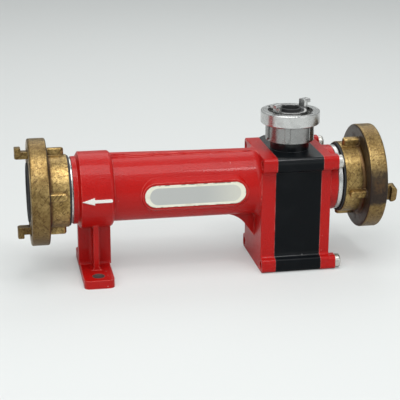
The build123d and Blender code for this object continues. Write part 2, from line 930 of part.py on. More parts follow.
joint_rings = {
    "outlet_joint_ring": (across(outlet_hub_end), bore_radius, joint_ring_radius, joint_ring_thickness),
    "inlet_joint_ring": (
        across(inlet_hub_end - joint_ring_thickness),
        bore_radius,
        joint_ring_radius,
        joint_ring_thickness,
    ),
    "foam_joint_ring": (
        Plane((foam_port_x, 0, neck_top)),
        spigot_radius + fit_clearance,
        neck_boss_radius,
        foam_ring_thickness,
    ),
}
for name, (plane, bore, outer, thickness) in joint_rings.items():
    finish(flat_ring(plane, bore, outer, thickness), name)

for name, face in (("outlet", outlet_face), ("inlet", inlet_face)):
    coupling = lug_coupling(
        face=face,
        ring_radius=c_ring_radius,
        ring_length=c_ring_length,
        ring_round=c_ring_round,
        hub_radius=c_hub_radius,
        hub_round=c_hub_round,
        length=c_length,
        bore_radius=bore_radius,
        thread_stop=c_thread_stop,
        way_radius=nipple_bore_radius,
        pocket_radius=c_pocket_radius,
        pocket_depth=c_pocket_depth,
        core_radius=c_core_radius,
        cavity_radius=c_cavity_radius,
        cavity_depth=c_cavity_depth,
        lip_radius=c_lip_radius,
        lip_thickness=c_lip_thickness,
        lug_neck=c_lug_neck_radius,
        lug_head=c_lug_head_radius,
        lug_head_length=c_lug_head_length,
        lug_reach=c_lug_reach,
        lug_width=c_lug_width,
        lug_corner=c_lug_corner,
        rib_count=c_rib_count,
        rib_radius=c_rib_radius,
        rib_width=c_rib_width,
        rib_inset=c_rib_inset,
        rib_round=c_rib_round,
        rib_turn=0,
    )
    finish(coupling, f"{name}_coupling")
    seal = face_seal(
        face,
        nipple_bore_radius,
        c_pocket_radius - fit_clearance,
        c_pocket_depth,
        c_seal_lip,
        c_seal_lip_width,
    )
    finish(seal, f"{name}_seal")

foam_coupling = lug_coupling(
    face=foam_face,
    ring_radius=d_ring_radius,
    ring_length=d_ring_length,
    ring_round=d_ring_round,
    hub_radius=d_hub_radius,
    hub_round=d_hub_round,
    length=d_length,
    bore_radius=spigot_radius + fit_clearance,
    thread_stop=d_thread_stop,
    way_radius=d_seal_bore_radius,
    pocket_radius=d_pocket_radius,
    pocket_depth=d_pocket_depth,
    core_radius=d_core_radius,
    cavity_radius=d_cavity_radius,
    cavity_depth=d_cavity_depth,
    lip_radius=d_lip_radius,
    lip_thickness=d_lip_thickness,
    lug_neck=d_lug_neck_radius,
    lug_head=d_lug_head_radius,
    lug_head_length=d_lug_head_length,
    lug_reach=d_lug_reach,
    lug_width=d_lug_width,
    lug_corner=d_lug_corner,
    rib_count=d_rib_count,
    rib_radius=d_rib_radius,
    rib_width=d_rib_width,
    rib_inset=d_rib_inset,
    rib_round=d_rib_round,
    rib_turn=foam_rib_turn,
)
finish(foam_coupling, "foam_coupling")
foam_seal = face_seal(
    foam_face,
    d_seal_bore_radius,
    d_pocket_radius - fit_clearance,
    d_pocket_depth,
    d_seal_lip,
    d_seal_lip_width,
)
finish(foam_seal, "foam_seal")

# Label plate on the pad
with BuildPart() as label_plate:
    with BuildSketch(Plane.XZ.offset(pad_stand_off)):
        with Locations((pad_centre_x, axis_height - pad_drop)):
            SlotOverall(label_length, label_height)
    extrude(amount=label_thickness)
finish(label_plate, "label_plate")

# Four clamp screws, through the inlet plate and the block into the outlet plate
with BuildPart() as clamp_screws:
    with BuildSketch(Plane.YZ.offset(plate_face + screw_end_inset)):
        with Locations(*screw_spots):
            Circle(screw_radius)
    extrude(amount=ear_boss_face - plate_face - screw_end_inset)
    with BuildSketch(Plane.YZ.offset(ear_boss_face)):
        with Locations(*screw_spots):
            Circle(screw_head_radius)
    extrude(amount=screw_head_height)
    head_faces = clamp_screws.faces().filter_by(Plane.YZ).sort_by(Axis.X)[-4:]
    fillet([edge for face in head_faces for edge in face.edges()], screw_head_round)
    with BuildSketch(Plane.YZ.offset(ear_boss_face + screw_head_height)):
        with Locations(*screw_spots):
            RegularPolygon(hex_socket_width / 2, 6, major_radius=False)
    extrude(amount=-hex_socket_depth, mode=Mode.SUBTRACT)
finish(clamp_screws, "clamp_screws")

# Diffuser: a turned insert that widens from the throat to the outlet
diffuser_start = outlet_thread_end
diffuser_mouth = foam_port_x - jet_gap / 2
flange_left = diffuser_recess_x + face_gap
flange_right = block_left - face_gap / 2
with BuildPart() as diffuser:
    with BuildSketch(water_section):
        with BuildLine():
            Polyline(
                (diffuser_start, diffuser_exit_radius),
                (diffuser_start, tube_bore_radius - fit_clearance),
                (diffuser_start + diffuser_land_length, tube_bore_radius - fit_clearance),
                (flange_left, diffuser_root_radius),
                (flange_left, diffuser_flange_radius - fit_clearance),
                (flange_right, diffuser_flange_radius - fit_clearance),
                (flange_right, cavity_radius - fit_clearance),
                (diffuser_mouth - mouth_lead, cavity_radius - fit_clearance),
                (diffuser_mouth, throat_radius + mouth_wall),
                (diffuser_mouth - mouth_lead, throat_radius),
                (diffuser_mouth - throat_length, throat_radius),
                close=True,
            )
        make_face()
    revolve(axis=water_axis)
    groove_x = (flange_left + flange_right) / 2
    with BuildSketch(across(groove_x - groove_width / 2)):
        Circle(diffuser_flange_radius + 1)
        Circle(diffuser_flange_radius - fit_clearance - groove_depth, mode=Mode.SUBTRACT)
    extrude(amount=groove_width, mode=Mode.SUBTRACT)
finish(diffuser, "diffuser")

# Jet nozzle: a brass cone that ends just before the diffuser's mouth
nozzle_tip = foam_port_x + jet_gap / 2
nozzle_flange_left = block_right + face_gap / 2
nozzle_flange_right = nozzle_recess_x - face_gap
nozzle_slope = (nozzle_mouth_radius - nozzle_bore_radius) / (nozzle_flange_right - nozzle_tip)
nozzle_root = nozzle_bore_radius + nozzle_wall + nozzle_slope * (nozzle_flange_left - nozzle_tip)
with BuildPart() as jet_nozzle:
    with BuildSketch(water_section):
        with BuildLine():
            Polyline(
                (nozzle_tip, nozzle_bore_radius),
                (nozzle_tip, nozzle_bore_radius + nozzle_wall),
                (nozzle_flange_left, nozzle_root),
                (nozzle_flange_left, nozzle_flange_radius - fit_clearance),
                (nozzle_flange_right, nozzle_flange_radius - fit_clearance),
                (nozzle_flange_right, nozzle_mouth_radius),
                close=True,
            )
        make_face()
    revolve(axis=water_axis)
    nozzle_groove_x = (nozzle_flange_left + nozzle_flange_right) / 2
    with BuildSketch(across(nozzle_groove_x - groove_width / 2)):
        Circle(nozzle_flange_radius + 1)
        Circle(nozzle_flange_radius - fit_clearance - groove_depth, mode=Mode.SUBTRACT)
    extrude(amount=groove_width, mode=Mode.SUBTRACT)
finish(jet_nozzle, "jet_nozzle")

# Check valve in the foam way: a ball between its stop and its seat
with BuildPart() as check_ball:
    with Locations((foam_port_x, 0, ball_rest_z)):
        Sphere(ball_radius)
finish(check_ball, "check_ball")

with BuildPart() as ball_stop:
    stop_radius = chamber_radius - fit_clearance
    with BuildSketch(Plane((foam_port_x, 0, chamber_floor_z))):
        Circle(stop_radius)
        Circle(stop_radius - ball_stop_wall, mode=Mode.SUBTRACT)
    extrude(amount=ball_stop_height)
    with BuildSketch(Plane((foam_port_x, 0, chamber_floor_z))):
        Rectangle(2 * stop_radius - ball_stop_wall, ball_stop_bar)
    extrude(amount=ball_stop_bar)
finish(ball_stop, "ball_stop")

with BuildPart() as check_valve_seat:
    with BuildSketch(foam_section):
        with BuildLine():
            Polyline(
                (seat_bore_radius, seat_edge_z),
                (seat_radius - fit_clearance, seat_edge_z),
                (seat_radius - fit_clearance, spigot_top),
                (d_seal_bore_radius, spigot_top),
                (seat_bore_radius, seat_edge_z + seat_cone_height),
                close=True,
            )
        make_face()
    revolve(axis=foam_axis)
finish(check_valve_seat, "check_valve_seat")

# Metering plug: its side port meets the foam way more or less as it turns, and leads out at its front
plug_groove_y = (plug_port_y + metering_way_radius + collar_seat_y) / 2
with BuildPart() as metering_plug:
    with BuildSketch(behind(plug_front_y + face_gap)):
        Circle(plug_radius)
    extrude(amount=collar_seat_y - plug_front_y)
    with BuildSketch(behind(collar_seat_y + face_gap / 2)):
        Circle(plug_collar_radius)
    extrude(amount=plug_collar_length)
    with BuildSketch(behind(collar_seat_y + plug_collar_length)):
        Circle(plug_radius)
    extrude(amount=shaft_end_y - collar_seat_y - plug_collar_length)
    with BuildSketch(behind(knob_front_y)):
        with Locations((0, plug_radius)):
            Rectangle(2 * plug_radius, 2 * shaft_flat)
    extrude(amount=knob_bore_depth, mode=Mode.SUBTRACT)
    with BuildSketch(behind(plug_front_y)):
        Circle(metering_way_radius)
    extrude(amount=plug_port_depth + metering_way_radius, mode=Mode.SUBTRACT)
    with BuildSketch(Plane((foam_port_x, plug_port_y, axis_height))):
        Circle(metering_way_radius)
    extrude(amount=plug_radius + 1, mode=Mode.SUBTRACT)
    with BuildSketch(behind(plug_groove_y - plug_groove_width / 2)):
        Circle(plug_radius + 1)
        Circle(plug_radius - plug_groove_depth, mode=Mode.SUBTRACT)
    extrude(amount=plug_groove_width, mode=Mode.SUBTRACT)
    with BuildSketch(behind(shaft_end_y)):
        Circle(knob_screw_radius + fit_clearance)
    extrude(amount=-knob_screw_length, mode=Mode.SUBTRACT)
finish(metering_plug, "metering_plug")

# Bonnet over the plug's collar, with countersunk screws
with BuildPart() as metering_bonnet:
    with BuildSketch(behind(boss_face_y)):
        Circle(boss_radius)
        Circle(plug_radius + fit_clearance, mode=Mode.SUBTRACT)
    extrude(amount=bonnet_thickness)
    with Locations(behind(boss_face_y + bonnet_thickness)):
        with PolarLocations(bonnet_screw_offset_radius, bonnet_screw_count, start_angle=270):
            CounterSinkHole(
                bonnet_screw_radius + fit_clearance, bonnet_screw_head_radius + fit_clearance
            )
finish(metering_bonnet, "metering_bonnet")

with BuildPart() as bonnet_screws:
    with Locations(behind(boss_face_y + bonnet_thickness - fit_clearance)):
        with PolarLocations(bonnet_screw_offset_radius, bonnet_screw_count, start_angle=270):
            Cone(
                bonnet_screw_radius,
                bonnet_screw_head_radius,
                bonnet_screw_head_radius - bonnet_screw_radius,
                align=(Align.CENTER, Align.CENTER, Align.MAX),
            )
            Cylinder(
                bonnet_screw_radius,
                bonnet_screw_length - 2 * fit_clearance,
                align=(Align.CENTER, Align.CENTER, Align.MAX),
            )
finish(bonnet_screws, "bonnet_screws")

# Dosing knob with finger flutes round its rim
with BuildPart() as dosing_knob:
    with BuildSketch(behind(knob_front_y)):
        Circle(knob_radius)
    extrude(amount=knob_length)
    fillet(dosing_knob.edges(), knob_round)
    with BuildSketch(behind(knob_front_y)):
        flute_circle = knob_radius + flute_radius - flute_depth
        with PolarLocations(flute_circle, flute_count, start_angle=180 / flute_count + 90):
            Circle(flute_radius)
    extrude(amount=knob_length, mode=Mode.SUBTRACT)
    with BuildSketch(behind(knob_front_y)) as bore:
        Circle(plug_radius + fit_clearance)
        with Locations((0, plug_radius + fit_clearance)):
            Rectangle(2 * plug_radius + 1, 2 * shaft_flat, mode=Mode.SUBTRACT)
    extrude(amount=knob_bore_depth, mode=Mode.SUBTRACT)
    with BuildSketch(behind(knob_front_y)):
        Circle(knob_screw_radius + 2 * fit_clearance)
    extrude(amount=knob_length, mode=Mode.SUBTRACT)
    with BuildSketch(behind(knob_web_y)):
        Circle(knob_screw_head_radius + 1)
    extrude(amount=knob_back_y - knob_web_y, mode=Mode.SUBTRACT)
finish(dosing_knob, "dosing_knob")

with BuildPart() as knob_screw:
    with BuildSketch(behind(knob_web_y)):
        Circle(knob_screw_head_radius)
    extrude(amount=knob_screw_head_height)
    fillet(knob_screw.edges().group_by(Axis.Y)[-1], 1.0)
    with BuildSketch(behind(knob_web_y)):
        Circle(knob_screw_radius)
    extrude(amount=-knob_screw_length)
    with BuildSketch(behind(knob_web_y + knob_screw_head_height)):
        Rectangle(2 * knob_screw_head_radius, 1.0)
    extrude(amount=-1.2, mode=Mode.SUBTRACT)
finish(knob_screw, "knob_screw")

# Rubber rings, each in the middle of its groove
ring_lift = groove_side_clearance / 2 + o_ring_radius
plug_ring_lift = groove_side_clearance / 2 + plug_ring_radius
flange_groove_radius = diffuser_flange_radius - fit_clearance - groove_depth
nozzle_groove_radius = nozzle_flange_radius - fit_clearance - groove_depth
ring_seats = {
    "diffuser_o_ring": (groove_x, flange_groove_radius + ring_lift),
    "jet_nozzle_o_ring": (nozzle_groove_x, nozzle_groove_radius + ring_lift),
    "outlet_face_ring": (block_left + ring_lift, outlet_face_ring_radius),
    "inlet_face_ring": (block_right - ring_lift, inlet_face_ring_radius),
}
for name, (offset, radius) in ring_seats.items():
    finish(o_ring(water_section, water_axis, offset, radius, o_ring_radius), name)
plug_ring = o_ring(
    knob_section,
    knob_axis,
    plug_groove_y,
    plug_radius - plug_groove_depth + plug_ring_lift,
    plug_ring_radius,
)
finish(plug_ring, "plug_o_ring")
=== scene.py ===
"""Looks of the inline foam proportioner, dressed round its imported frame. Metres, +Z up."""

from __future__ import annotations

import logging
from dataclasses import dataclass
from enum import Enum
from math import cos, pi, radians, sin
from typing import ClassVar, Union

import bpy
from mathutils import Euler, Matrix, Vector


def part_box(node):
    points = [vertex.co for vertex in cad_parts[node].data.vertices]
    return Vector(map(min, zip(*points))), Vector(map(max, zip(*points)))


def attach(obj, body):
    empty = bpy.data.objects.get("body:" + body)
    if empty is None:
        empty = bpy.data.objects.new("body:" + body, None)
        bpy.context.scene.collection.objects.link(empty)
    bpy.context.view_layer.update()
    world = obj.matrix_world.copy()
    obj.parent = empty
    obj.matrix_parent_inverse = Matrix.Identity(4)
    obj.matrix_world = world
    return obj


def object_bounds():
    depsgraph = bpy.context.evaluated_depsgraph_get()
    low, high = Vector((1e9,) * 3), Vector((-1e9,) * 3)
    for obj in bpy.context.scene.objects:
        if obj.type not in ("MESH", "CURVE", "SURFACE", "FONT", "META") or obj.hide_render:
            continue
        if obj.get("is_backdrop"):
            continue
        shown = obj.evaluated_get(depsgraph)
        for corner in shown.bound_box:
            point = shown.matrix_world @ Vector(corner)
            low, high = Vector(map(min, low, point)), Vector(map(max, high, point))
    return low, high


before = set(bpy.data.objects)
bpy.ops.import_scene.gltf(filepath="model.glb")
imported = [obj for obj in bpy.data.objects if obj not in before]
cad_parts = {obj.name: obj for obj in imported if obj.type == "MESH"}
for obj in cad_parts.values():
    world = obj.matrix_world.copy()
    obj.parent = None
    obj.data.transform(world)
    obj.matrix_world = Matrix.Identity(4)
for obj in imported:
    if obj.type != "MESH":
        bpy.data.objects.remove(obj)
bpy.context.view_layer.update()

LOG = logging.getLogger("proportioner")

Colour = tuple[float, float, float]
Point = tuple[float, float, float]
Angles = tuple[float, float, float]
Span = tuple[float, float]
Number = Union[float, "Signal"]
Place = tuple["Signal", "Signal", "Signal"]
MM = 0.001


class Body(Enum):
    """The rigid bodies that pieces ride on."""

    HOUSING = "housing"
    DOSING = "dosing"
    BALL = "ball"


class Along(Enum):
    """Axis of a round piece, as the components that make its radius."""

    WATER = (0, 1, 1)
    FOAM = (1, 1, 0)
    KNOB = (1, 0, 1)


@dataclass(frozen=True)
class Signal:
    """A number that varies over a surface, held as a socket of a material's node tree."""

    board: "Board"
    socket: bpy.types.NodeSocket

    def math(self, operation: str, first: Number, second: Number = 0.0) -> "Signal":
        """Add one Math node.

        Args:
            operation: Name of the Math node's operation.
            first: Its first value or signal.
            second: Its second value or signal.

        Returns:
            The node's result.
        """
        return self.board.place("ShaderNodeMath", {"operation": operation}, {0: first, 1: second})

    def __add__(self, other: Number) -> "Signal":
        """Sum of the two."""
        return self.math("ADD", self, other)

    __radd__ = __add__

    def __sub__(self, other: Number) -> "Signal":
        """This less the other."""
        return self.math("SUBTRACT", self, other)

    def __rsub__(self, other: Number) -> "Signal":
        """The other less this."""
        return self.math("SUBTRACT", other, self)

    def __mul__(self, other: Number) -> "Signal":
        """Product of the two."""
        return self.math("MULTIPLY", self, other)

    __rmul__ = __mul__

    def __pow__(self, power: float) -> "Signal":
        """This to a power."""
        return self.math("POWER", self, power)

    def __abs__(self) -> "Signal":
        """Size without its sign."""
        return self.math("ABSOLUTE", self)

    def larger(self, other: Number) -> "Signal":
        """The larger of the two."""
        return self.math("MAXIMUM", self, other)

    def rise(self, low: float, high: float) -> "Signal":
        """Soft step.

        Args:
            low: Value at which the step is still 0.
            high: Value from which it is 1. Below low, the step falls instead.

        Returns:
            A signal from 0 to 1.
        """
        falls = high < low
        ends = {1: min(low, high), 2: max(low, high), 3: 1.0 if falls else 0.0, 4: 0.0 if falls else 1.0}
        return self.board.place("ShaderNodeMapRange", {"interpolation_type": "SMOOTHSTEP"}, {0: self, **ends})

    def across(self, span_mm: Span) -> "Signal":
        """Soft step over a span of millimetres, from 0 at its first end to 1 at its second."""
        return self.rise(span_mm[0] * MM, span_mm[1] * MM)


@dataclass(frozen=True)
class Hue:
    """A colour or vector that varies over a surface."""

    board: "Board"
    socket: bpy.types.NodeSocket


@dataclass(frozen=True)
class Layer:
    """Cloudy noise: the clouds' size, its octaves, its weight and the weight of the finer octaves."""

    size_mm: float
    octaves: float
    weight: float = 1.0
    fine_share: float = 0.5


@dataclass(frozen=True)
class Patches:
    """Soft patches cut out of cloudy noise, with the levels at which they start and are full."""

    size_mm: float
    octaves: float
    start: float
    full: float
    share: float = 1.0
    fine_share: float = 0.5


@dataclass(frozen=True)
class Creases:
    """Shade in creases: how far the surface looks round, and how closed in it starts and is full."""

    reach_mm: float
    start: float
    full: float


@dataclass(frozen=True)
class Specks:
    """Round specks, one in each cell, that fade between two shares of the cell's size."""

    cell_mm: float
    rim: float
    core: float


@dataclass(frozen=True)
class Scratches:
    """Thin straight marks in one direction, and the share of the surface that they cover."""

    length_mm: float
    width_mm: float
    turn: Angles
    amount: float


class Board:
    """A material's node tree, built through one method for every node."""

    CREASE_SAMPLES = 8
    BEVEL_SAMPLES = 6
    BEND_START = 0.01
    BEND_FULL = 0.12
    SCRATCH_FADE = 0.06

    def __init__(self, name: str) -> None:
        """Start an empty material.

        Args:
            name: Name of the material.
        """
        self.material = bpy.data.materials.new(name)
        self.material.use_nodes = True
        self.tree = self.material.node_tree
        self.tree.nodes.clear()
        self.shader = self.node("ShaderNodeBsdfPrincipled")
        self.output = self.node("ShaderNodeOutputMaterial", {}, {0: self.shader.outputs[0]})

    def node(
        self,
        kind: str,
        settings: dict[str, object] | None = None,
        inputs: dict[int | str, object] | None = None,
    ) -> bpy.types.Node:
        """Add a node.

        Args:
            kind: The node's type.
            settings: Its properties, set first.
            inputs: Values, signals, hues or sockets for its inputs.

        Returns:
            The node.
        """
        made = self.tree.nodes.new(kind)
        for key, value in (settings or {}).items():
            setattr(made, key, value)
        for key, value in (inputs or {}).items():
            self.feed(made.inputs[key], value)
        return made

    def feed(self, socket: bpy.types.NodeSocket, value: object) -> None:
        """Link a socket or set its value.

        Args:
            socket: The input.
            value: A signal, hue, socket, number or colour.
        """
        source = getattr(value, "socket", value)
        if isinstance(source, bpy.types.NodeSocket):
            self.tree.links.new(source, socket)
        elif socket.type == "RGBA" and len(source) == 3:
            socket.default_value = (*source, 1.0)
        else:
            socket.default_value = source

    def place(self, kind: str, settings: dict[str, object], inputs: dict[int | str, object]) -> Signal:
        """Add a node and take its first output as a signal."""
        return Signal(self, self.node(kind, settings, inputs).outputs[0])

    def point(self) -> Hue:
        """Place on the surface, in the part's own frame."""
        return Hue(self, self.node("ShaderNodeTexCoord").outputs["Object"])

    def axes(self) -> Place:
        """The three coordinates of the place on the surface."""
        parts = self.node("ShaderNodeSeparateXYZ", {}, {0: self.point()})
        return tuple(Signal(self, out) for out in parts.outputs)

    def noise(self, size_mm: float, octaves: float, fine_share: float = 0.5) -> Signal:
        """Cloudy noise.

        Args:
            size_mm: Size of its clouds.
            octaves: Its octaves.
            fine_share: Weight of the finer octaves.

        Returns:
            A signal about 0.5.
        """
        inputs = {
            "Vector": self.point(),
            "Scale": 1 / (size_mm * MM),
            "Detail": octaves,
            "Roughness": fine_share,
        }
        return self.place("ShaderNodeTexNoise", {}, inputs)

    def layer(self, layer: Layer) -> Signal:
        """Cloudy noise times its weight."""
        return self.noise(layer.size_mm, layer.octaves, layer.fine_share) * layer.weight

    def patches(self, patches: Patches) -> Signal:
        """Soft patches, from 0 to their share."""
        noise = self.noise(patches.size_mm, patches.octaves, patches.fine_share)
        return noise.rise(patches.start, patches.full) * patches.share

    def specks(self, specks: Specks) -> Signal:
        """Round specks.

        Args:
            specks: Their size.

        Returns:
            A signal that is 1 in the middle of a speck.
        """
        inputs = {"Vector": self.point(), "Scale": 1 / (specks.cell_mm * MM)}
        near = self.place("ShaderNodeTexVoronoi", {"feature": "F1"}, inputs)
        return near.rise(specks.rim, specks.core)

    def scratches(self, marks: Scratches) -> Signal:
        """Thin straight marks in one direction.

        Args:
            marks: Their size, direction and share.

        Returns:
            A signal that is 1 in a mark.
        """
        across = 1 / (marks.width_mm * MM)
        scale = (1 / (marks.length_mm * MM), across, across)
        spun = self.node("ShaderNodeMapping", {}, {"Vector": self.point(), "Rotation": marks.turn})
        sized = self.node("ShaderNodeMapping", {}, {"Vector": spun.outputs[0], "Scale": scale})
        inputs = {"Vector": sized.outputs[0], "Scale": 1.0, "Detail": 1.0}
        lines = self.place("ShaderNodeTexNoise", {}, inputs)
        return lines.rise(1 - marks.amount, 1 - marks.amount + self.SCRATCH_FADE)

    def shaded(self, creases: Creases) -> Signal:
        """Shade in creases.

        Args:
            creases: Their reach and levels.

        Returns:
            A signal that is 0 in the open and 1 deep in a crease.
        """
        inputs = {"Distance": creases.reach_mm * MM}
        light = self.node("ShaderNodeAmbientOcclusion", {"samples": self.CREASE_SAMPLES}, inputs)
        return (1 - Signal(self, light.outputs["AO"])).rise(creases.start, creases.full)

    def softened(self, radius_mm: float) -> bpy.types.NodeSocket:
        """Normal of the surface with its edges rounded."""
        inputs = {"Radius": radius_mm * MM}
        return self.node("ShaderNodeBevel", {"samples": self.BEVEL_SAMPLES}, inputs).outputs[0]

    def edge(self, radius_mm: float) -> Signal:
        """How sharply the surface bends.

        Args:
            radius_mm: Radius of the rounded normal that the true one is held against.

        Returns:
            A signal that is 1 at a sharp edge.
        """
        true = self.node("ShaderNodeNewGeometry").outputs["Normal"]
        inputs = {0: self.softened(radius_mm), 1: true}
        dot = self.node("ShaderNodeVectorMath", {"operation": "DOT_PRODUCT"}, inputs)
        return (1 - Signal(self, dot.outputs["Value"])).rise(self.BEND_START, self.BEND_FULL)

    def mix(self, amount: Number, under: object, over: object) -> Hue:
        """Blend two colours.

        Args:
            amount: 0 for the first colour, 1 for the second.
            under: First colour.
            over: Second colour.

        Returns:
            The blend.
        """
        made = self.node("ShaderNodeMix", {"data_type": "RGBA"}, {0: amount, 6: under, 7: over})
        return Hue(self, made.outputs[2])

    def bump(self, height: Signal, depth_mm: float, soften_mm: float = 0.0) -> None:
        """Feed the shader's normal with a height.

        Args:
            height: Height from 0 to 1.
            depth_mm: Real depth of that height.
            soften_mm: Radius by which sharp edges are rounded first.
        """
        inputs = {"Strength": 1.0, "Distance": depth_mm * MM, "Height": height}
        if soften_mm:
            inputs["Normal"] = self.softened(soften_mm)
        made = self.node("ShaderNodeBump", {}, inputs)
        self.feed(self.shader.inputs["Normal"], made.outputs[0])

    def surface(self, **values: object) -> bpy.types.Material:
        """Feed the shader.

        Args:
            **values: Its inputs, with underscores for the spaces in their names.

        Returns:
            The finished material.
        """
        for key, value in values.items():
            self.feed(self.shader.inputs[key.replace("_", " ")], value)
        return self.material


@dataclass(frozen=True)
class Layout:
    """Places on the object that several finishes need, in metres."""

    axis_height: float
    outlet_face: float
    inlet_face: float
    block_top: float
    label_low: Vector
    label_high: Vector
    knob_centre: Vector
    knob_back: float
    seal_depth: ClassVar[float] = 5.0 * MM
    collar_radius: ClassVar[float] = 35.2 * MM

    @classmethod
    def read(cls) -> "Layout":
        """Read the places from the frame's boxes.

        Returns:
            The layout.
        """
        label_low, label_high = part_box("label_plate")
        knob_low, knob_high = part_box("dosing_knob")
        outlet_low, outlet_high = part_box("outlet_nipple")
        return cls(
            axis_height=(outlet_low.z + outlet_high.z) / 2,
            outlet_face=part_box("outlet_seal")[1].x - cls.seal_depth,
            inlet_face=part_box("inlet_seal")[0].x + cls.seal_depth,
            block_top=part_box("inlet_housing")[1].z,
            label_low=label_low,
            label_high=label_high,
            knob_centre=(knob_low + knob_high) / 2,
            knob_back=knob_high.y,
        )


@dataclass(frozen=True)
class RedPaint:
    """Gloss red paint on a casting: orange peel, dirt with painted shade in its creases, rubbed edges with a
    painted highlight, bare foot holes and a white arrow.
    """

    layout: Layout
    colour: Colour = (0.388, 0.0046, 0.0033)
    deep: Colour = (0.31, 0.0055, 0.0060)
    # Pale pink of the edges: thin rubbed paint, and a painted edge highlight.
    rubbed: Colour = (0.74, 0.15, 0.13)
    bare: Colour = (0.10, 0.095, 0.09)
    chip: Colour = (0.10, 0.035, 0.03)
    scuff: Colour = (0.80, 0.62, 0.60)
    white: Colour = (0.73, 0.72, 0.68)
    # Dark red of the creases: dirt and painted shade.
    grime: Colour = (0.09, 0.012, 0.012)
    clouds: Patches = Patches(30, 2, 0.35, 0.75, share=0.35)
    dirt: Patches = Patches(7, 3, 0.3, 0.6, share=0.7)
    dirt_creases: Creases = Creases(5, 0.25, 0.9)
    edge_mm: float = 1.3
    rubbing: Patches = Patches(9, 3, 0.3, 0.6, share=0.75)
    chipping: Patches = Patches(3.2, 4, 0.60, 0.68, fine_share=0.65)
    chip_share: float = 0.8
    specks: Specks = Specks(7.0, 0.085, 0.06)
    speck_clouds: Patches = Patches(22, 2, 0.55, 0.62, share=0.55)
    roughness: float = 0.27
    gloss: Layer = Layer(9, 3, 0.16)
    worn_roughness: float = 0.25
    arrow_roughness: float = 0.2
    specular: float = 0.14
    coat: float = 0.16
    coat_roughness: float = 0.09
    peel: Layer = Layer(1.3, 1, 1.2)
    waves: Layer = Layer(6.5, 2, 0.4)
    worn_dip: float = 0.5
    relief_mm: float = 0.30
    soften_mm: float = 0.7
    hole_depth: float = 34.5 * MM
    hole_rim_mm: Span = (5.9, 5.6)
    foot_top_mm: Span = (10, 8)
    hole_share: float = 0.9
    arrow_step_mm: Span = (0.35, 0.6)
    arrow_half_height_mm: Span = (6, 5)
    arrow_half_length_mm: Span = (18, 16)
    front_mm: Span = (0, -10)
    ragged: Layer = Layer(1.8, 3)
    ragged_mm: float = 0.6

    def build(self, with_arrow: bool) -> bpy.types.Material:
        """Make the material.

        Args:
            with_arrow: Whether the piece carries the arrow and the foot.

        Returns:
            The material.
        """
        board = Board("red_paint_arrow" if with_arrow else "red_paint")
        tone = board.mix(board.patches(self.clouds), self.colour, self.deep)
        # Darker where the creases close in, in dirt patches: partly dirt, partly painted shade.
        tone = board.mix(board.shaded(self.dirt_creases) * board.patches(self.dirt), tone, self.grime)
        bend = board.edge(self.edge_mm)
        # Edges paler in patches: partly rubbed paint, partly a painted highlight on the rounded edges.
        tone = board.mix(bend * board.patches(self.rubbing), tone, self.rubbed)
        worn = bend * board.patches(self.chipping)
        tone = board.mix(worn * self.chip_share, tone, self.chip)
        tone = board.mix(board.specks(self.specks) * board.patches(self.speck_clouds), tone, self.scuff)
        roughness = self.roughness + board.layer(self.gloss) + self.worn_roughness * worn
        if with_arrow:
            place = board.axes()
            arrow = self.arrow(board, place)
            tone = board.mix(arrow, tone, self.white)
            roughness = roughness + self.arrow_roughness * arrow
            tone = board.mix(self.foot_holes(place) * self.hole_share, tone, self.bare)
        height = board.layer(self.peel) + board.layer(self.waves) - self.worn_dip * worn
        board.bump(height, self.relief_mm, self.soften_mm)
        return board.surface(
            Base_Color=tone,
            Roughness=roughness,
            Specular_IOR_Level=self.specular,
            Coat_Weight=self.coat,
            Coat_Roughness=self.coat_roughness,
        )

    def arrow(self, board: Board, place: Place) -> Signal:
        """Find the raised arrow on the front of the collar.

        Args:
            board: The material's board.
            place: The three coordinates.

        Returns:
            A signal that is 1 on the arrow.
        """
        x, y, z = place
        up = z - self.layout.axis_height
        radius = (y * y + up * up) ** 0.5
        wander = (board.layer(self.ragged) - 0.5) * self.ragged_mm * MM
        raised = (radius + wander - self.layout.collar_radius).across(self.arrow_step_mm)
        within = abs(up).across(self.arrow_half_height_mm) * abs(x).across(self.arrow_half_length_mm)
        return raised * within * y.across(self.front_mm)

    def foot_holes(self, place: Place) -> Signal:
        """Find the walls of the foot's two bolt holes.

        Args:
            place: The three coordinates.

        Returns:
            A signal that is 1 in a hole.
        """
        x, y, z = place
        offset = abs(y) - self.hole_depth
        radius = (x * x + offset * offset) ** 0.5
        return radius.across(self.hole_rim_mm) * z.across(self.foot_top_mm)


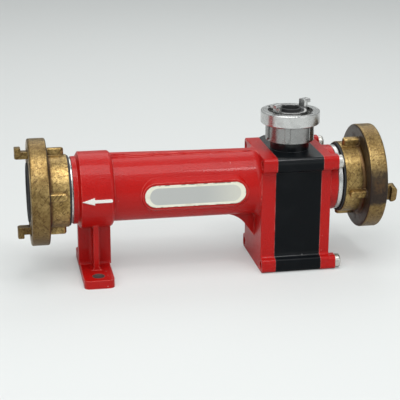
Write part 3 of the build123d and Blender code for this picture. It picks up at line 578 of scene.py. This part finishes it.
@dataclass(frozen=True)
class BlackCoat:
    """Smooth black coating of the block: faint dust, a painted highlight on its edges in patches, glossy top
    and lower rim.
    """

    layout: Layout
    colour: Colour = (0.0020, 0.0030, 0.0041)
    dust: Colour = (0.0080, 0.0095, 0.0110)
    # Grey of the edges, a painted edge highlight.
    worn: Colour = (0.10, 0.108, 0.112)
    speck: Colour = (0.35, 0.35, 0.34)
    dusting: Patches = Patches(26, 4, 0.45, 0.75, share=0.5)
    edge_mm: float = 1.3
    rubbing: Patches = Patches(11, 3, 0.3, 0.65, share=0.5)
    specks: Specks = Specks(9.0, 0.05, 0.03)
    speck_clouds: Patches = Patches(14, 2, 0.6, 0.66)
    roughness: float = 0.24
    gloss: Layer = Layer(12, 3, 0.14)
    specular: float = 0.10
    coat_roughness: float = 0.16
    top_mm: Span = (-7, -3)
    top_coat: float = 0.45
    rim_height: float = 16.0 * MM
    rim_mm: Span = (2.6, 0.8)
    rim_front_mm: Span = (-30, -33)
    rim_coat: float = 0.8
    ripple: Layer = Layer(2.4, 2)
    relief_mm: float = 0.03
    soften_mm: float = 0.5

    def build(self) -> bpy.types.Material:
        """Make the material.

        Returns:
            The material.
        """
        board = Board("black_coat")
        tone = board.mix(board.patches(self.dusting), self.colour, self.dust)
        # Grey patches along the edges: a painted edge highlight.
        tone = board.mix(board.edge(self.edge_mm) * board.patches(self.rubbing), tone, self.worn)
        tone = board.mix(board.specks(self.specks) * board.patches(self.speck_clouds), tone, self.speck)
        _, y, z = board.axes()
        top = (z - self.layout.block_top).across(self.top_mm) * self.top_coat
        rim = abs(z - self.rim_height).across(self.rim_mm) * y.across(self.rim_front_mm) * self.rim_coat
        board.bump(board.layer(self.ripple), self.relief_mm, self.soften_mm)
        return board.surface(
            Base_Color=tone,
            Roughness=self.roughness + board.layer(self.gloss),
            Specular_IOR_Level=self.specular,
            Coat_Weight=top.larger(rim),
            Coat_Roughness=self.coat_roughness,
        )


@dataclass(frozen=True)
class BurntPatch:
    """Blackened patch on the front of a coupling's ring, with a browned middle."""

    soot: Colour = (0.014, 0.008, 0.008)
    olive: Colour = (0.085, 0.044, 0.017)
    wander: Layer = Layer(7, 4)
    wander_mm: float = 10.0
    ring_back_mm: Span = (17.2, 16.2)
    ring_face_mm: Span = (-0.6, 0.2)
    front_mm: Span = (-18, -30)
    upper_mm: Span = (24, 12)
    lower_mm: Span = (-17, -12)
    middle_height: float = 3.0 * MM
    middle_inset: float = 8.5 * MM
    middle_half_height_mm: Span = (9, 3)
    middle_half_width_mm: Span = (7, 3)
    browning: Patches = Patches(2.5, 3, 0.25, 0.65, share=0.85)
    soot_share: float = 0.9
    roughening: float = 0.12
    dulling: float = 0.4

    def cover(self, board: Board, place: Place, tone: Hue) -> tuple[Hue, Signal]:
        """Blacken the patch.

        Args:
            board: The material's board.
            place: Depth behind the tube's axis, height above it, and distance in from the face.
            tone: Colour so far.

        Returns:
            The colour with the patch, and a signal that is 1 in the patch.
        """
        y, up, inset = place
        wobble = (board.layer(self.wander) - 0.5) * self.wander_mm * MM
        front = y.across(self.front_mm) * inset.across(self.ring_back_mm) * inset.across(self.ring_face_mm)
        patch = (up + wobble).across(self.upper_mm) * (up + wobble).across(self.lower_mm) * front
        middle = abs(up - self.middle_height - wobble).across(self.middle_half_height_mm)
        middle = middle * abs(inset - self.middle_inset).across(self.middle_half_width_mm)
        tone = board.mix(patch * self.soot_share, tone, self.soot)
        return board.mix(patch * middle * board.patches(self.browning), tone, self.olive), patch


@dataclass(frozen=True)
class CastBrass:
    """Cast brass of a large coupling: mottled patina, a darker ring, pits, rubbed edges and scratches, with
    painted shade low down, on the ring's back face and in the corner behind the ring.
    """

    layout: Layout
    face_x: float
    inward: int
    burn: BurntPatch | None = None
    ring_end: float = 16.6 * MM
    bright: Colour = (0.62, 0.445, 0.180)
    body: Colour = (0.250, 0.163, 0.056)
    patina: Colour = (0.105, 0.063, 0.026)
    brown: Colour = (0.060, 0.028, 0.017)
    # Near black of the ring's back face: dark patina with painted shade.
    back_face: Colour = (0.027, 0.020, 0.019)
    mottle: Layer = Layer(2.6, 5, fine_share=0.68)
    mottle_share: float = 0.6
    clouds: Layer = Layer(17, 2, 0.4)
    bright_levels: Span = (0.38, 0.70)
    stains: Patches = Patches(11, 4, 0.50, 0.74, fine_share=0.6)
    # Darkening of the lower half: painted shade.
    low_mm: Span = (0, -30)
    low_stain: float = 0.35
    stain_share: float = 0.5
    ring_mm: Span = (0.4, -0.4)
    ring_tarnish: float = 0.32
    # Extra darkening towards the ring's bottom: painted shade.
    low_ring_mm: Span = (14, -10)
    low_ring_tarnish: float = 0.32
    pits: Specks = Specks(2.3, 0.17, 0.09)
    pit_clouds: Patches = Patches(6, 2, 0.42, 0.58)
    pit_share: float = 0.65
    back_start_mm: Span = (-0.8, -0.3)
    back_end_mm: Span = (1.6, 0.8)
    back_radius_mm: Span = (35.5, 38)
    back_share: float = 0.9
    # Brown just behind the ring, on the hub: painted shade.
    corner_end_mm: Span = (4.6, 1.8)
    corner_radius_mm: Span = (37.5, 35)
    corner_share: float = 0.8
    creases: Creases = Creases(7, 0.22, 0.7)
    crease_share: float = 0.9
    edge_mm: float = 0.8
    rub_levels: Span = (0.35, 0.6)
    rub_share: float = 0.55
    long_marks: Scratches = Scratches(30, 1.2, (0.5, 0.9, 0.3), 0.40)
    short_marks: Scratches = Scratches(20, 1.0, (1.4, 0.2, -0.9), 0.40)
    mark_share: float = 0.65
    roughness: float = 0.27
    mottle_roughness: float = 0.22
    stain_roughness: float = 0.16
    crease_roughness: float = 0.12
    back_dulling: float = 0.35
    crease_dulling: float = 0.25
    mottle_height: float = 0.5
    grain: Layer = Layer(1.4, 3, 0.35)
    pit_dip: float = 0.5
    mark_dip: float = 0.15
    relief_mm: float = 0.22
    soften_mm: float = 0.7

    def build(self) -> bpy.types.Material:
        """Make the material.

        Returns:
            The material.
        """
        board = Board("cast_brass_burnt" if self.burn else "cast_brass")
        x, y, z = board.axes()
        up = z - self.layout.axis_height
        radius = (y * y + up * up) ** 0.5
        inset = (x - self.face_x) * self.inward
        past_ring = inset - self.ring_end
        mottle = board.layer(self.mottle)
        lightness = mottle * self.mottle_share + board.layer(self.clouds)
        tone = board.mix(lightness.rise(*self.bright_levels), self.body, self.bright)
        # Patina in stain patches, plus painted shade that darkens the lower half.
        stains = board.patches(self.stains) + up.across(self.low_mm) * self.low_stain
        tone = board.mix(stains * self.stain_share, tone, self.patina)
        # The ring's patina all round, with painted shade added towards its bottom.
        tarnish_and_shade = self.ring_tarnish + up.across(self.low_ring_mm) * self.low_ring_tarnish
        tone = board.mix(past_ring.across(self.ring_mm) * tarnish_and_shade, tone, self.patina)
        pits = board.specks(self.pits) * board.patches(self.pit_clouds)
        tone = board.mix(pits * self.pit_share, tone, self.brown)
        # The ring's back face, turned to the housing: dark patina with painted shade.
        step = past_ring.across(self.back_start_mm)
        behind = step * past_ring.across(self.back_end_mm) * radius.across(self.back_radius_mm)
        tone = board.mix(behind * self.back_share, tone, self.back_face)
        # Brown where the ring's back meets the hub: painted shade.
        corner = step * past_ring.across(self.corner_end_mm) * radius.across(self.corner_radius_mm)
        tone = board.mix(corner * self.corner_share, tone, self.brown)
        shade = board.shaded(self.creases)
        tone = board.mix(shade * self.crease_share, tone, self.brown)
        rubbed = board.edge(self.edge_mm) * mottle.rise(*self.rub_levels)
        tone = board.mix(rubbed * self.rub_share, tone, self.bright)
        marks = board.scratches(self.long_marks).larger(board.scratches(self.short_marks))
        tone = board.mix(marks * self.mark_share, tone, self.brown)
        roughness = self.roughness + self.mottle_roughness * mottle + self.stain_roughness * stains
        roughness = roughness + self.crease_roughness * shade
        metal = 1 - self.back_dulling * behind - self.crease_dulling * shade
        if self.burn:
            tone, patch = self.burn.cover(board, (y, up, inset), tone)
            roughness = roughness + self.burn.roughening * patch
            metal = metal - self.burn.dulling * patch
        height = mottle * self.mottle_height + board.layer(self.grain)
        height = height - self.pit_dip * pits - self.mark_dip * marks
        board.bump(height, self.relief_mm, self.soften_mm)
        return board.surface(Base_Color=tone, Roughness=roughness, Metallic=metal)


@dataclass(frozen=True)
class TurnedMetal:
    """Turned metal with fine rings round its axis, light stains, painted shade in its creases, and, where it
    has a hub, a painted dark reflection on the hub with painted shade along its rib edges.
    """

    name: str
    colour: Colour
    shade: Colour
    axis: Along
    centre: tuple[float, float, float]
    roughness: float = 0.22
    groove_mm: float = 0.5
    hub_end: float | None = None
    groove_octaves: float = 2.0
    groove_share: float = 0.10
    stains: Patches = Patches(8, 4, 0.5, 0.72, fine_share=0.6)
    stain_share: float = 0.25
    hub_mm: Span = (0.2, -0.2)
    # Darkening of the hub: a painted reflection of the black block below it.
    hub_share: float = 0.80
    # Dark lines along the hub's rib edges: painted shade.
    hub_edge_mm: float = 0.7
    hub_edge_share: float = 0.8
    hub_edge_dark: float = 0.2
    # Darkening in the creases: painted shade.
    creases: Creases = Creases(4, 0.3, 0.9)
    crease_share: float = 0.8
    crease_dark: float = 0.15
    marks: Scratches = Scratches(9, 0.25, (0.7, 0.3, 0.9), 0.34)
    mark_share: float = 0.30
    stain_roughness: float = 0.12
    groove_roughness: float = 0.1
    groove_height: float = 0.4
    waves: Layer = Layer(5, 1, 0.25)
    mark_dip: float = 0.2
    relief_mm: float = 0.03
    soften_mm: float = 0.4

    def build(self) -> bpy.types.Material:
        """Make the material.

        Returns:
            The material.
        """
        board = Board(self.name)
        place = board.axes()
        along = place[self.axis.value.index(0)]
        lines = self.grooves(board, place, along)
        stain = board.patches(self.stains)
        tone = board.mix(stain * self.stain_share + lines * self.groove_share, self.colour, self.shade)
        if self.hub_end is not None:
            # The hub below the ring darkened: a painted reflection of the black block below it.
            hub = (along - self.hub_end).across(self.hub_mm)
            tone = board.mix(hub * self.hub_share, tone, self.shade)
            # Dark lines along the hub's rib edges: painted shade.
            rib_edge_shade = hub * board.edge(self.hub_edge_mm) * self.hub_edge_share
            tone = board.mix(rib_edge_shade, tone, self.darker(self.hub_edge_dark))
        # Darker in the creases: painted shade.
        tone = board.mix(board.shaded(self.creases) * self.crease_share, tone, self.darker(self.crease_dark))
        marks = board.scratches(self.marks)
        tone = board.mix(marks * self.mark_share, tone, self.shade)
        height = lines * self.groove_height + board.layer(self.waves) - self.mark_dip * marks
        board.bump(height, self.relief_mm, self.soften_mm)
        roughness = self.roughness + self.stain_roughness * stain + self.groove_roughness * lines
        return board.surface(Base_Color=tone, Roughness=roughness, Metallic=1.0)

    def grooves(self, board: Board, place: Place, along: Signal) -> Signal:
        """Fine rings round the axis, as noise of the radius and of the place along the axis.

        Args:
            board: The material's board.
            place: The three coordinates.
            along: The one along the axis.

        Returns:
            A signal about 0.5.
        """
        offsets = [part - middle for part, middle, used in zip(place, self.centre, self.axis.value) if used]
        radius = (offsets[0] * offsets[0] + offsets[1] * offsets[1]) ** 0.5
        fineness = 1 / (self.groove_mm * MM)
        inputs = {0: radius * fineness, 1: along * fineness, 2: 0.0}
        where = self.vector(board, inputs)
        inputs = {"Vector": where, "Scale": 1.0, "Detail": self.groove_octaves}
        return board.place("ShaderNodeTexNoise", {}, inputs)

    @staticmethod
    def vector(board: Board, inputs: dict[int | str, object]) -> Hue:
        """Three numbers as one vector."""
        return Hue(board, board.node("ShaderNodeCombineXYZ", {}, inputs).outputs[0])

    def darker(self, share: float) -> Colour:
        """The shade's colour at a share of its strength."""
        return tuple(share * part for part in self.shade)


@dataclass(frozen=True)
class Rubber:
    """Matt black rubber with a faint bloom."""

    colour: Colour = (0.012, 0.012, 0.013)
    bloom: Colour = (0.045, 0.045, 0.047)
    blooming: Patches = Patches(6, 4, 0.4, 0.8, share=0.5)
    grain: Layer = Layer(0.8, 3)
    relief_mm: float = 0.04
    roughness: float = 0.55
    gloss: Layer = Layer(4, 2, 0.15)

    def build(self) -> bpy.types.Material:
        """Make the material.

        Returns:
            The material.
        """
        board = Board("black_rubber")
        tone = board.mix(board.patches(self.blooming), self.colour, self.bloom)
        board.bump(board.layer(self.grain), self.relief_mm)
        return board.surface(Base_Color=tone, Roughness=self.roughness + board.layer(self.gloss))


@dataclass(frozen=True)
class Plastic:
    """Moulded black plastic with a fine grain and rubbed edges."""

    colour: Colour = (0.013, 0.013, 0.014)
    worn: Colour = (0.06, 0.06, 0.062)
    edge_mm: float = 0.8
    rubbing: Patches = Patches(4, 3, 0.35, 0.6, share=0.6)
    grain: Layer = Layer(0.6, 2)
    relief_mm: float = 0.05
    soften_mm: float = 0.4
    roughness: float = 0.38
    gloss: Layer = Layer(5, 3, 0.14)

    def build(self) -> bpy.types.Material:
        """Make the material.

        Returns:
            The material.
        """
        board = Board("black_plastic")
        tone = board.mix(board.edge(self.edge_mm) * board.patches(self.rubbing), self.colour, self.worn)
        board.bump(board.layer(self.grain), self.relief_mm, self.soften_mm)
        return board.surface(Base_Color=tone, Roughness=self.roughness + board.layer(self.gloss))


@dataclass(frozen=True)
class LabelPrint:
    """Printed label plate: an ivory border round a silver-grey field, bare of words, a little worn."""

    layout: Layout
    ivory: Colour = (0.72, 0.71, 0.59)
    silver: Colour = (0.440, 0.452, 0.436)
    line: Colour = (0.06, 0.05, 0.045)
    stain: Colour = (0.33, 0.27, 0.17)
    border_mm: float = 2.2
    end_border_mm: float = 4.4
    border_fade_mm: float = 0.3
    fading_start: float = 0.55
    fading: float = 0.5
    staining: Patches = Patches(14, 3, 0.5, 0.75, share=0.35)
    ragged: Layer = Layer(3, 3)
    ragged_mm: float = 0.5
    rim_mm: Span = (0.75, 0.2)
    rim_patches: Patches = Patches(5, 3, 0.42, 0.58, share=0.8)
    marks: Scratches = Scratches(10, 0.22, (0.0, 0.6, 0.2), 0.33)
    mark_share: float = 0.35
    waves: Layer = Layer(5, 3, 0.6)
    mark_dip: float = 0.2
    relief_mm: float = 0.05
    soften_mm: float = 0.3
    roughness: float = 0.34
    gloss: Layer = Layer(6, 3, 0.12)
    silver_metal: float = 0.25

    def build(self) -> bpy.types.Material:
        """Make the material.

        Returns:
            The material.
        """
        board = Board("label_print")
        x, _, z = board.axes()
        low, high = self.layout.label_low, self.layout.label_high
        length = high.x - low.x
        depth = self.depth(x, z, 0.0) + (board.layer(self.ragged) - 0.5) * self.ragged_mm * MM
        field_depth = self.depth(x, z, (self.end_border_mm - self.border_mm) * MM)
        inside = field_depth.across((self.border_mm, self.border_mm + self.border_fade_mm))
        # The field turns paler towards its right end.
        to_right = (x - low.x).rise(length * self.fading_start, length)
        tone = board.mix(inside * (1 - self.fading * to_right), self.ivory, self.silver)
        tone = board.mix(board.patches(self.staining) * (1 - inside), tone, self.stain)
        rim = depth.across(self.rim_mm) * board.patches(self.rim_patches)
        tone = board.mix(rim, tone, self.line)
        marks = board.scratches(self.marks)
        tone = board.mix(marks * self.mark_share, tone, self.stain)
        board.bump(board.layer(self.waves) - self.mark_dip * marks, self.relief_mm, self.soften_mm)
        roughness = self.roughness + board.layer(self.gloss)
        return board.surface(Base_Color=tone, Roughness=roughness, Metallic=self.silver_metal * inside)

    def depth(self, x: Signal, z: Signal, drawn_in: float) -> Signal:
        """Distance in from the plate's rounded outline.

        Args:
            x: Place along the plate.
            z: Height.
            drawn_in: How much shorter the outline's straight part is at each end.

        Returns:
            The distance, in metres.
        """
        low, high = self.layout.label_low, self.layout.label_high
        radius = (high.z - low.z) / 2
        straight = (high.x - low.x) / 2 - radius - drawn_in
        along = (abs(x - (low.x + high.x) / 2) - straight).larger(0.0)
        across = z - (low.z + high.z) / 2
        return radius - (along * along + across * across) ** 0.5


@dataclass(frozen=True)
class DialPaint:
    """Flat pale paint of the dial's numbers."""

    colour: Colour = (0.72, 0.72, 0.68)
    dirt: Colour = (0.35, 0.34, 0.31)
    dirt_patches: Patches = Patches(3, 3, 0.5, 0.8, share=0.3)
    roughness: float = 0.5
    gloss: Layer = Layer(2, 2, 0.1)

    def build(self) -> bpy.types.Material:
        """Make the material.

        Returns:
            The material.
        """
        board = Board("dial_paint")
        tone = board.mix(board.patches(self.dirt_patches), self.colour, self.dirt)
        return board.surface(Base_Color=tone, Roughness=self.roughness + board.layer(self.gloss))


def dress(node: str, material: bpy.types.Material) -> None:
    """Give a node of the frame its material.

    Args:
        node: Name of the node.
        material: The finish.
    """
    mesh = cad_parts[node].data
    mesh.materials.clear()
    mesh.materials.append(material)
    LOG.info("dressed %s in %s", node, material.name)


@dataclass
class Castings:
    """The red diffuser and inlet housings, the black block between them, and the label."""

    layout: Layout

    def dress(self) -> None:
        """Paint the castings and print the label."""
        paint = RedPaint(self.layout)
        dress("diffuser_housing", paint.build(True))
        dress("inlet_housing", paint.build(False))
        dress("valve_block", BlackCoat(self.layout).build())
        dress("label_plate", LabelPrint(self.layout).build())


@dataclass
class Couplings:
    """The three lug couplings with their seals, nipples and joint rings."""

    layout: Layout
    aluminium: Colour = (0.60, 0.60, 0.59)
    shade: Colour = (0.225, 0.225, 0.220)
    foam_hub_length: float = 15.8 * MM

    def dress(self) -> None:
        """Finish every coupling and what it seals on."""
        layout = self.layout
        dress("outlet_coupling", CastBrass(layout, layout.outlet_face, 1).build())
        dress("inlet_coupling", CastBrass(layout, layout.inlet_face, -1, BurntPatch()).build())
        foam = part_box("foam_joint_ring")
        centre = tuple((foam[0] + foam[1]) / 2)
        hub_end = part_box("foam_coupling")[0].z + self.foam_hub_length
        small = TurnedMetal("foam_aluminium", self.aluminium, self.shade, Along.FOAM, centre, hub_end=hub_end)
        dress("foam_coupling", small.build())
        water = (0.0, 0.0, layout.axis_height)
        sleeve = TurnedMetal("sleeve_aluminium", self.aluminium, self.shade, Along.WATER, water).build()
        rubber = Rubber().build()
        for end in ("outlet", "inlet"):
            dress(f"{end}_nipple", sleeve)
            dress(f"{end}_seal", rubber)
            dress(f"{end}_joint_ring", rubber)
            dress(f"{end}_face_ring", rubber)
        for ring in ("foam_seal", "foam_joint_ring", "diffuser_o_ring", "jet_nozzle_o_ring", "plug_o_ring"):
            dress(ring, rubber)


@dataclass
class Inserts:
    """The ejector, the non-return valve, the metering plug and the screws."""

    layout: Layout
    brass: Colour = (0.60, 0.46, 0.19)
    brass_shade: Colour = (0.30, 0.20, 0.07)
    pale: Colour = (0.62, 0.63, 0.63)
    pale_shade: Colour = (0.33, 0.34, 0.34)
    steel: Colour = (0.58, 0.57, 0.53)
    steel_shade: Colour = (0.28, 0.27, 0.24)
    steel_roughness: float = 0.3
    steel_groove_mm: float = 0.8

    def dress(self) -> None:
        """Finish the turned pieces."""
        water = (0.0, 0.0, self.layout.axis_height)
        brass = TurnedMetal("turned_brass", self.brass, self.brass_shade, Along.WATER, water).build()
        for node in ("jet_nozzle", "ball_stop", "check_valve_seat", "metering_plug"):
            dress(node, brass)
        pale = TurnedMetal("turned_aluminium", self.pale, self.pale_shade, Along.WATER, water).build()
        dress("diffuser", pale)
        dress("metering_bonnet", pale)
        steel = TurnedMetal(
            "bright_steel",
            self.steel,
            self.steel_shade,
            Along.KNOB,
            tuple(self.layout.knob_centre),
            roughness=self.steel_roughness,
            groove_mm=self.steel_groove_mm,
        ).build()
        for node in ("clamp_screws", "bonnet_screws", "knob_screw", "check_ball"):
            dress(node, steel)


@dataclass
class DosingDial:
    """The knob at the back with its plain numbers."""

    layout: Layout
    numbers: int = 7
    sweep_deg: float = 270.0
    zero_deg: float = 90.0
    number_height: float = 5.2 * MM
    font_scale: float = 1.4
    number_circle: float = 23.0 * MM
    raised: float = 0.15 * MM

    def dress(self) -> None:
        """Finish the knob and paint its numbers."""
        dress("dosing_knob", Plastic().build())
        paint = DialPaint().build()
        for index in range(self.numbers):
            self.number(index, paint)

    def number(self, index: int, paint: bpy.types.Material) -> None:
        """Set one number on the knob's back face.

        Args:
            index: The number.
            paint: Its material.
        """
        curve = bpy.data.curves.new(f"dial_number_{index}", "FONT")
        curve.body = str(index)
        curve.size = self.number_height * self.font_scale
        curve.extrude = self.raised
        curve.align_x = "CENTER"
        curve.align_y = "CENTER"
        text = bpy.data.objects.new(f"dial_number_{index}", curve)
        bpy.context.scene.collection.objects.link(text)
        text.matrix_world = self.spot(index)
        mesh_object = self.as_mesh(text, paint)
        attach(mesh_object, Body.DOSING.value)
        LOG.info("painted number %d", index)

    def spot(self, index: int) -> Matrix:
        """Where a number stands: on its circle, upright from the knob's middle, read from the back.

        Args:
            index: The number.

        Returns:
            The placing of its text.
        """
        angle = radians(self.zero_deg + self.sweep_deg * index / (self.numbers - 1))
        centre = self.layout.knob_centre
        facing = Matrix(((-1, 0, 0), (0, 0, 1), (0, 1, 0))).to_4x4()
        spin = Matrix.Rotation(angle - pi / 2, 4, "Z")
        offset = Vector((self.number_circle * cos(angle), self.number_circle * sin(angle), 0))
        place = Matrix.Translation((centre.x, self.layout.knob_back, centre.z))
        return place @ facing @ Matrix.Translation(offset) @ spin

    @staticmethod
    def as_mesh(text: bpy.types.Object, paint: bpy.types.Material) -> bpy.types.Object:
        """Turn a text object into a mesh at the origin.

        Args:
            text: The text object, which is removed.
            paint: The mesh's material.

        Returns:
            The mesh object.
        """
        bpy.context.view_layer.update()
        mesh = bpy.data.meshes.new_from_object(text)
        mesh.transform(text.matrix_world)
        name = text.name
        bpy.data.objects.remove(text)
        mesh.materials.clear()
        mesh.materials.append(paint)
        made = bpy.data.objects.new(f"{name}_paint", mesh)
        bpy.context.scene.collection.objects.link(made)
        return made


@dataclass(frozen=True)
class Lamp:
    """Soft square lamp, with its place and side in metres and its power in watts."""

    name: str
    place: Point
    size: float
    power: float


@dataclass
class Studio:
    """Pale floor that sweeps up into a backdrop, soft lamps and the camera."""

    camera_place: Point = (-0.1001, -1.0446, 0.4131)
    yaw_deg: float = 10.86
    pitch_deg: float = 18.17
    roll_deg: float = 0.25
    focal_px: float = 1193.8
    image_px: float = 400.0
    sensor_mm: float = 36.0
    clip_start: float = 0.05
    world: Colour = (0.80, 0.83, 0.84)
    world_strength: float = 0.55
    backdrop: Colour = (0.700, 0.718, 0.708)
    grain_colour: Colour = (0.60, 0.64, 0.65)
    grain: Layer = Layer(6, 3, 0.12)
    stage_roughness: float = 0.8
    glow_share: float = 0.35
    width: float = 6.0
    depth_front: float = 3.0
    depth_back: float = 2.2
    sweep: float = 1.2
    height: float = 3.0
    steps: int = 24
    lamps: tuple[Lamp, ...] = (
        Lamp("key", (-0.65, -0.85, 1.15), 1.2, 11.0),
        Lamp("top", (0.10, -0.34, 1.45), 0.8, 9.5),
        Lamp("back", (0.35, 0.95, 1.15), 0.9, 4.5),
        Lamp("fill", (1.15, -1.05, 0.65), 0.9, 4.0),
        Lamp("glint", (0.47, -0.70, 1.35), 0.22, 2.4),
    )

    def build(self) -> None:
        """Make the camera, the lamps, the world and the stage."""
        self.add_camera()
        self.add_lamps()
        self.add_world()
        self.add_stage()

    def add_camera(self) -> None:
        """Camera at the photograph's viewing angle."""
        data = bpy.data.cameras.new("camera")
        data.sensor_width = self.sensor_mm
        data.sensor_fit = "HORIZONTAL"
        data.lens = self.focal_px * self.sensor_mm / self.image_px
        data.clip_start = self.clip_start
        camera = bpy.data.objects.new("camera", data)
        bpy.context.scene.collection.objects.link(camera)
        look = Euler((radians(90 - self.pitch_deg), 0, radians(-self.yaw_deg))).to_matrix().to_4x4()
        roll = Matrix.Rotation(radians(self.roll_deg), 4, "Z")
        camera.matrix_world = Matrix.Translation(self.camera_place) @ look @ roll
        bpy.context.scene.camera = camera

    def add_lamps(self) -> None:
        """Soft square lamps that face the object."""
        low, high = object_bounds()
        middle = (Vector(low) + Vector(high)) / 2
        for lamp in self.lamps:
            data = bpy.data.lights.new(lamp.name, "AREA")
            data.size = lamp.size
            data.energy = lamp.power
            hung = bpy.data.objects.new(lamp.name, data)
            bpy.context.scene.collection.objects.link(hung)
            aim = (middle - Vector(lamp.place)).to_track_quat("-Z", "Y").to_matrix().to_4x4()
            hung.matrix_world = Matrix.Translation(lamp.place) @ aim

    def add_world(self) -> None:
        """Pale even world."""
        world = bpy.data.worlds.new("studio")
        bpy.context.scene.world = world
        world.use_nodes = True
        background = world.node_tree.nodes["Background"]
        background.inputs[0].default_value = (*self.world, 1.0)
        background.inputs[1].default_value = self.world_strength

    def add_stage(self) -> None:
        """Floor and backdrop in one sweep."""
        profile = [(-self.depth_front, 0.0), (self.depth_back, 0.0)]
        for step in range(1, self.steps + 1):
            angle = pi / 2 * step / self.steps
            profile.append((self.depth_back + self.sweep * sin(angle), self.sweep * (1 - cos(angle))))
        profile.append((self.depth_back + self.sweep, self.height))
        points = [(side * self.width / 2, y, z) for y, z in profile for side in (-1, 1)]
        faces = [(2 * i, 2 * i + 1, 2 * i + 3, 2 * i + 2) for i in range(len(profile) - 1)]
        mesh = bpy.data.meshes.new("backdrop")
        mesh.from_pydata(points, [], faces)
        for face in mesh.polygons:
            face.use_smooth = True
        stage = bpy.data.objects.new("backdrop", mesh)
        bpy.context.scene.collection.objects.link(stage)
        mesh.materials.append(self.stage_material())
        stage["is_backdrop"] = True

    def stage_material(self) -> bpy.types.Material:
        """Pale board that glows a little for the camera alone, and keeps the object's shadow.

        Returns:
            The material.
        """
        board = Board("backdrop")
        tone = board.mix(board.layer(self.grain), self.backdrop, self.grain_colour)
        board.surface(Base_Color=tone, Roughness=self.stage_roughness)
        glow = board.node("ShaderNodeEmission", {}, {0: self.backdrop, 1: 1.0})
        path = board.node("ShaderNodeLightPath")
        seen = Signal(board, path.outputs["Is Camera Ray"]) * self.glow_share
        inputs = {0: seen, 1: board.shader.outputs[0], 2: glow.outputs[0]}
        shown = board.node("ShaderNodeMixShader", {}, inputs)
        board.feed(board.output.inputs[0], shown.outputs[0])
        return board.material


def main() -> None:
    """Set up the studio and dress the object."""
    logging.basicConfig(level=logging.INFO, format="%(message)s")
    bpy.context.scene.view_settings.view_transform = "Standard"
    layout = Layout.read()
    Studio().build()
    for assembly in (Castings(layout), Couplings(layout), Inserts(layout), DosingDial(layout)):
        assembly.dress()


if __name__ == "__main__":
    main()
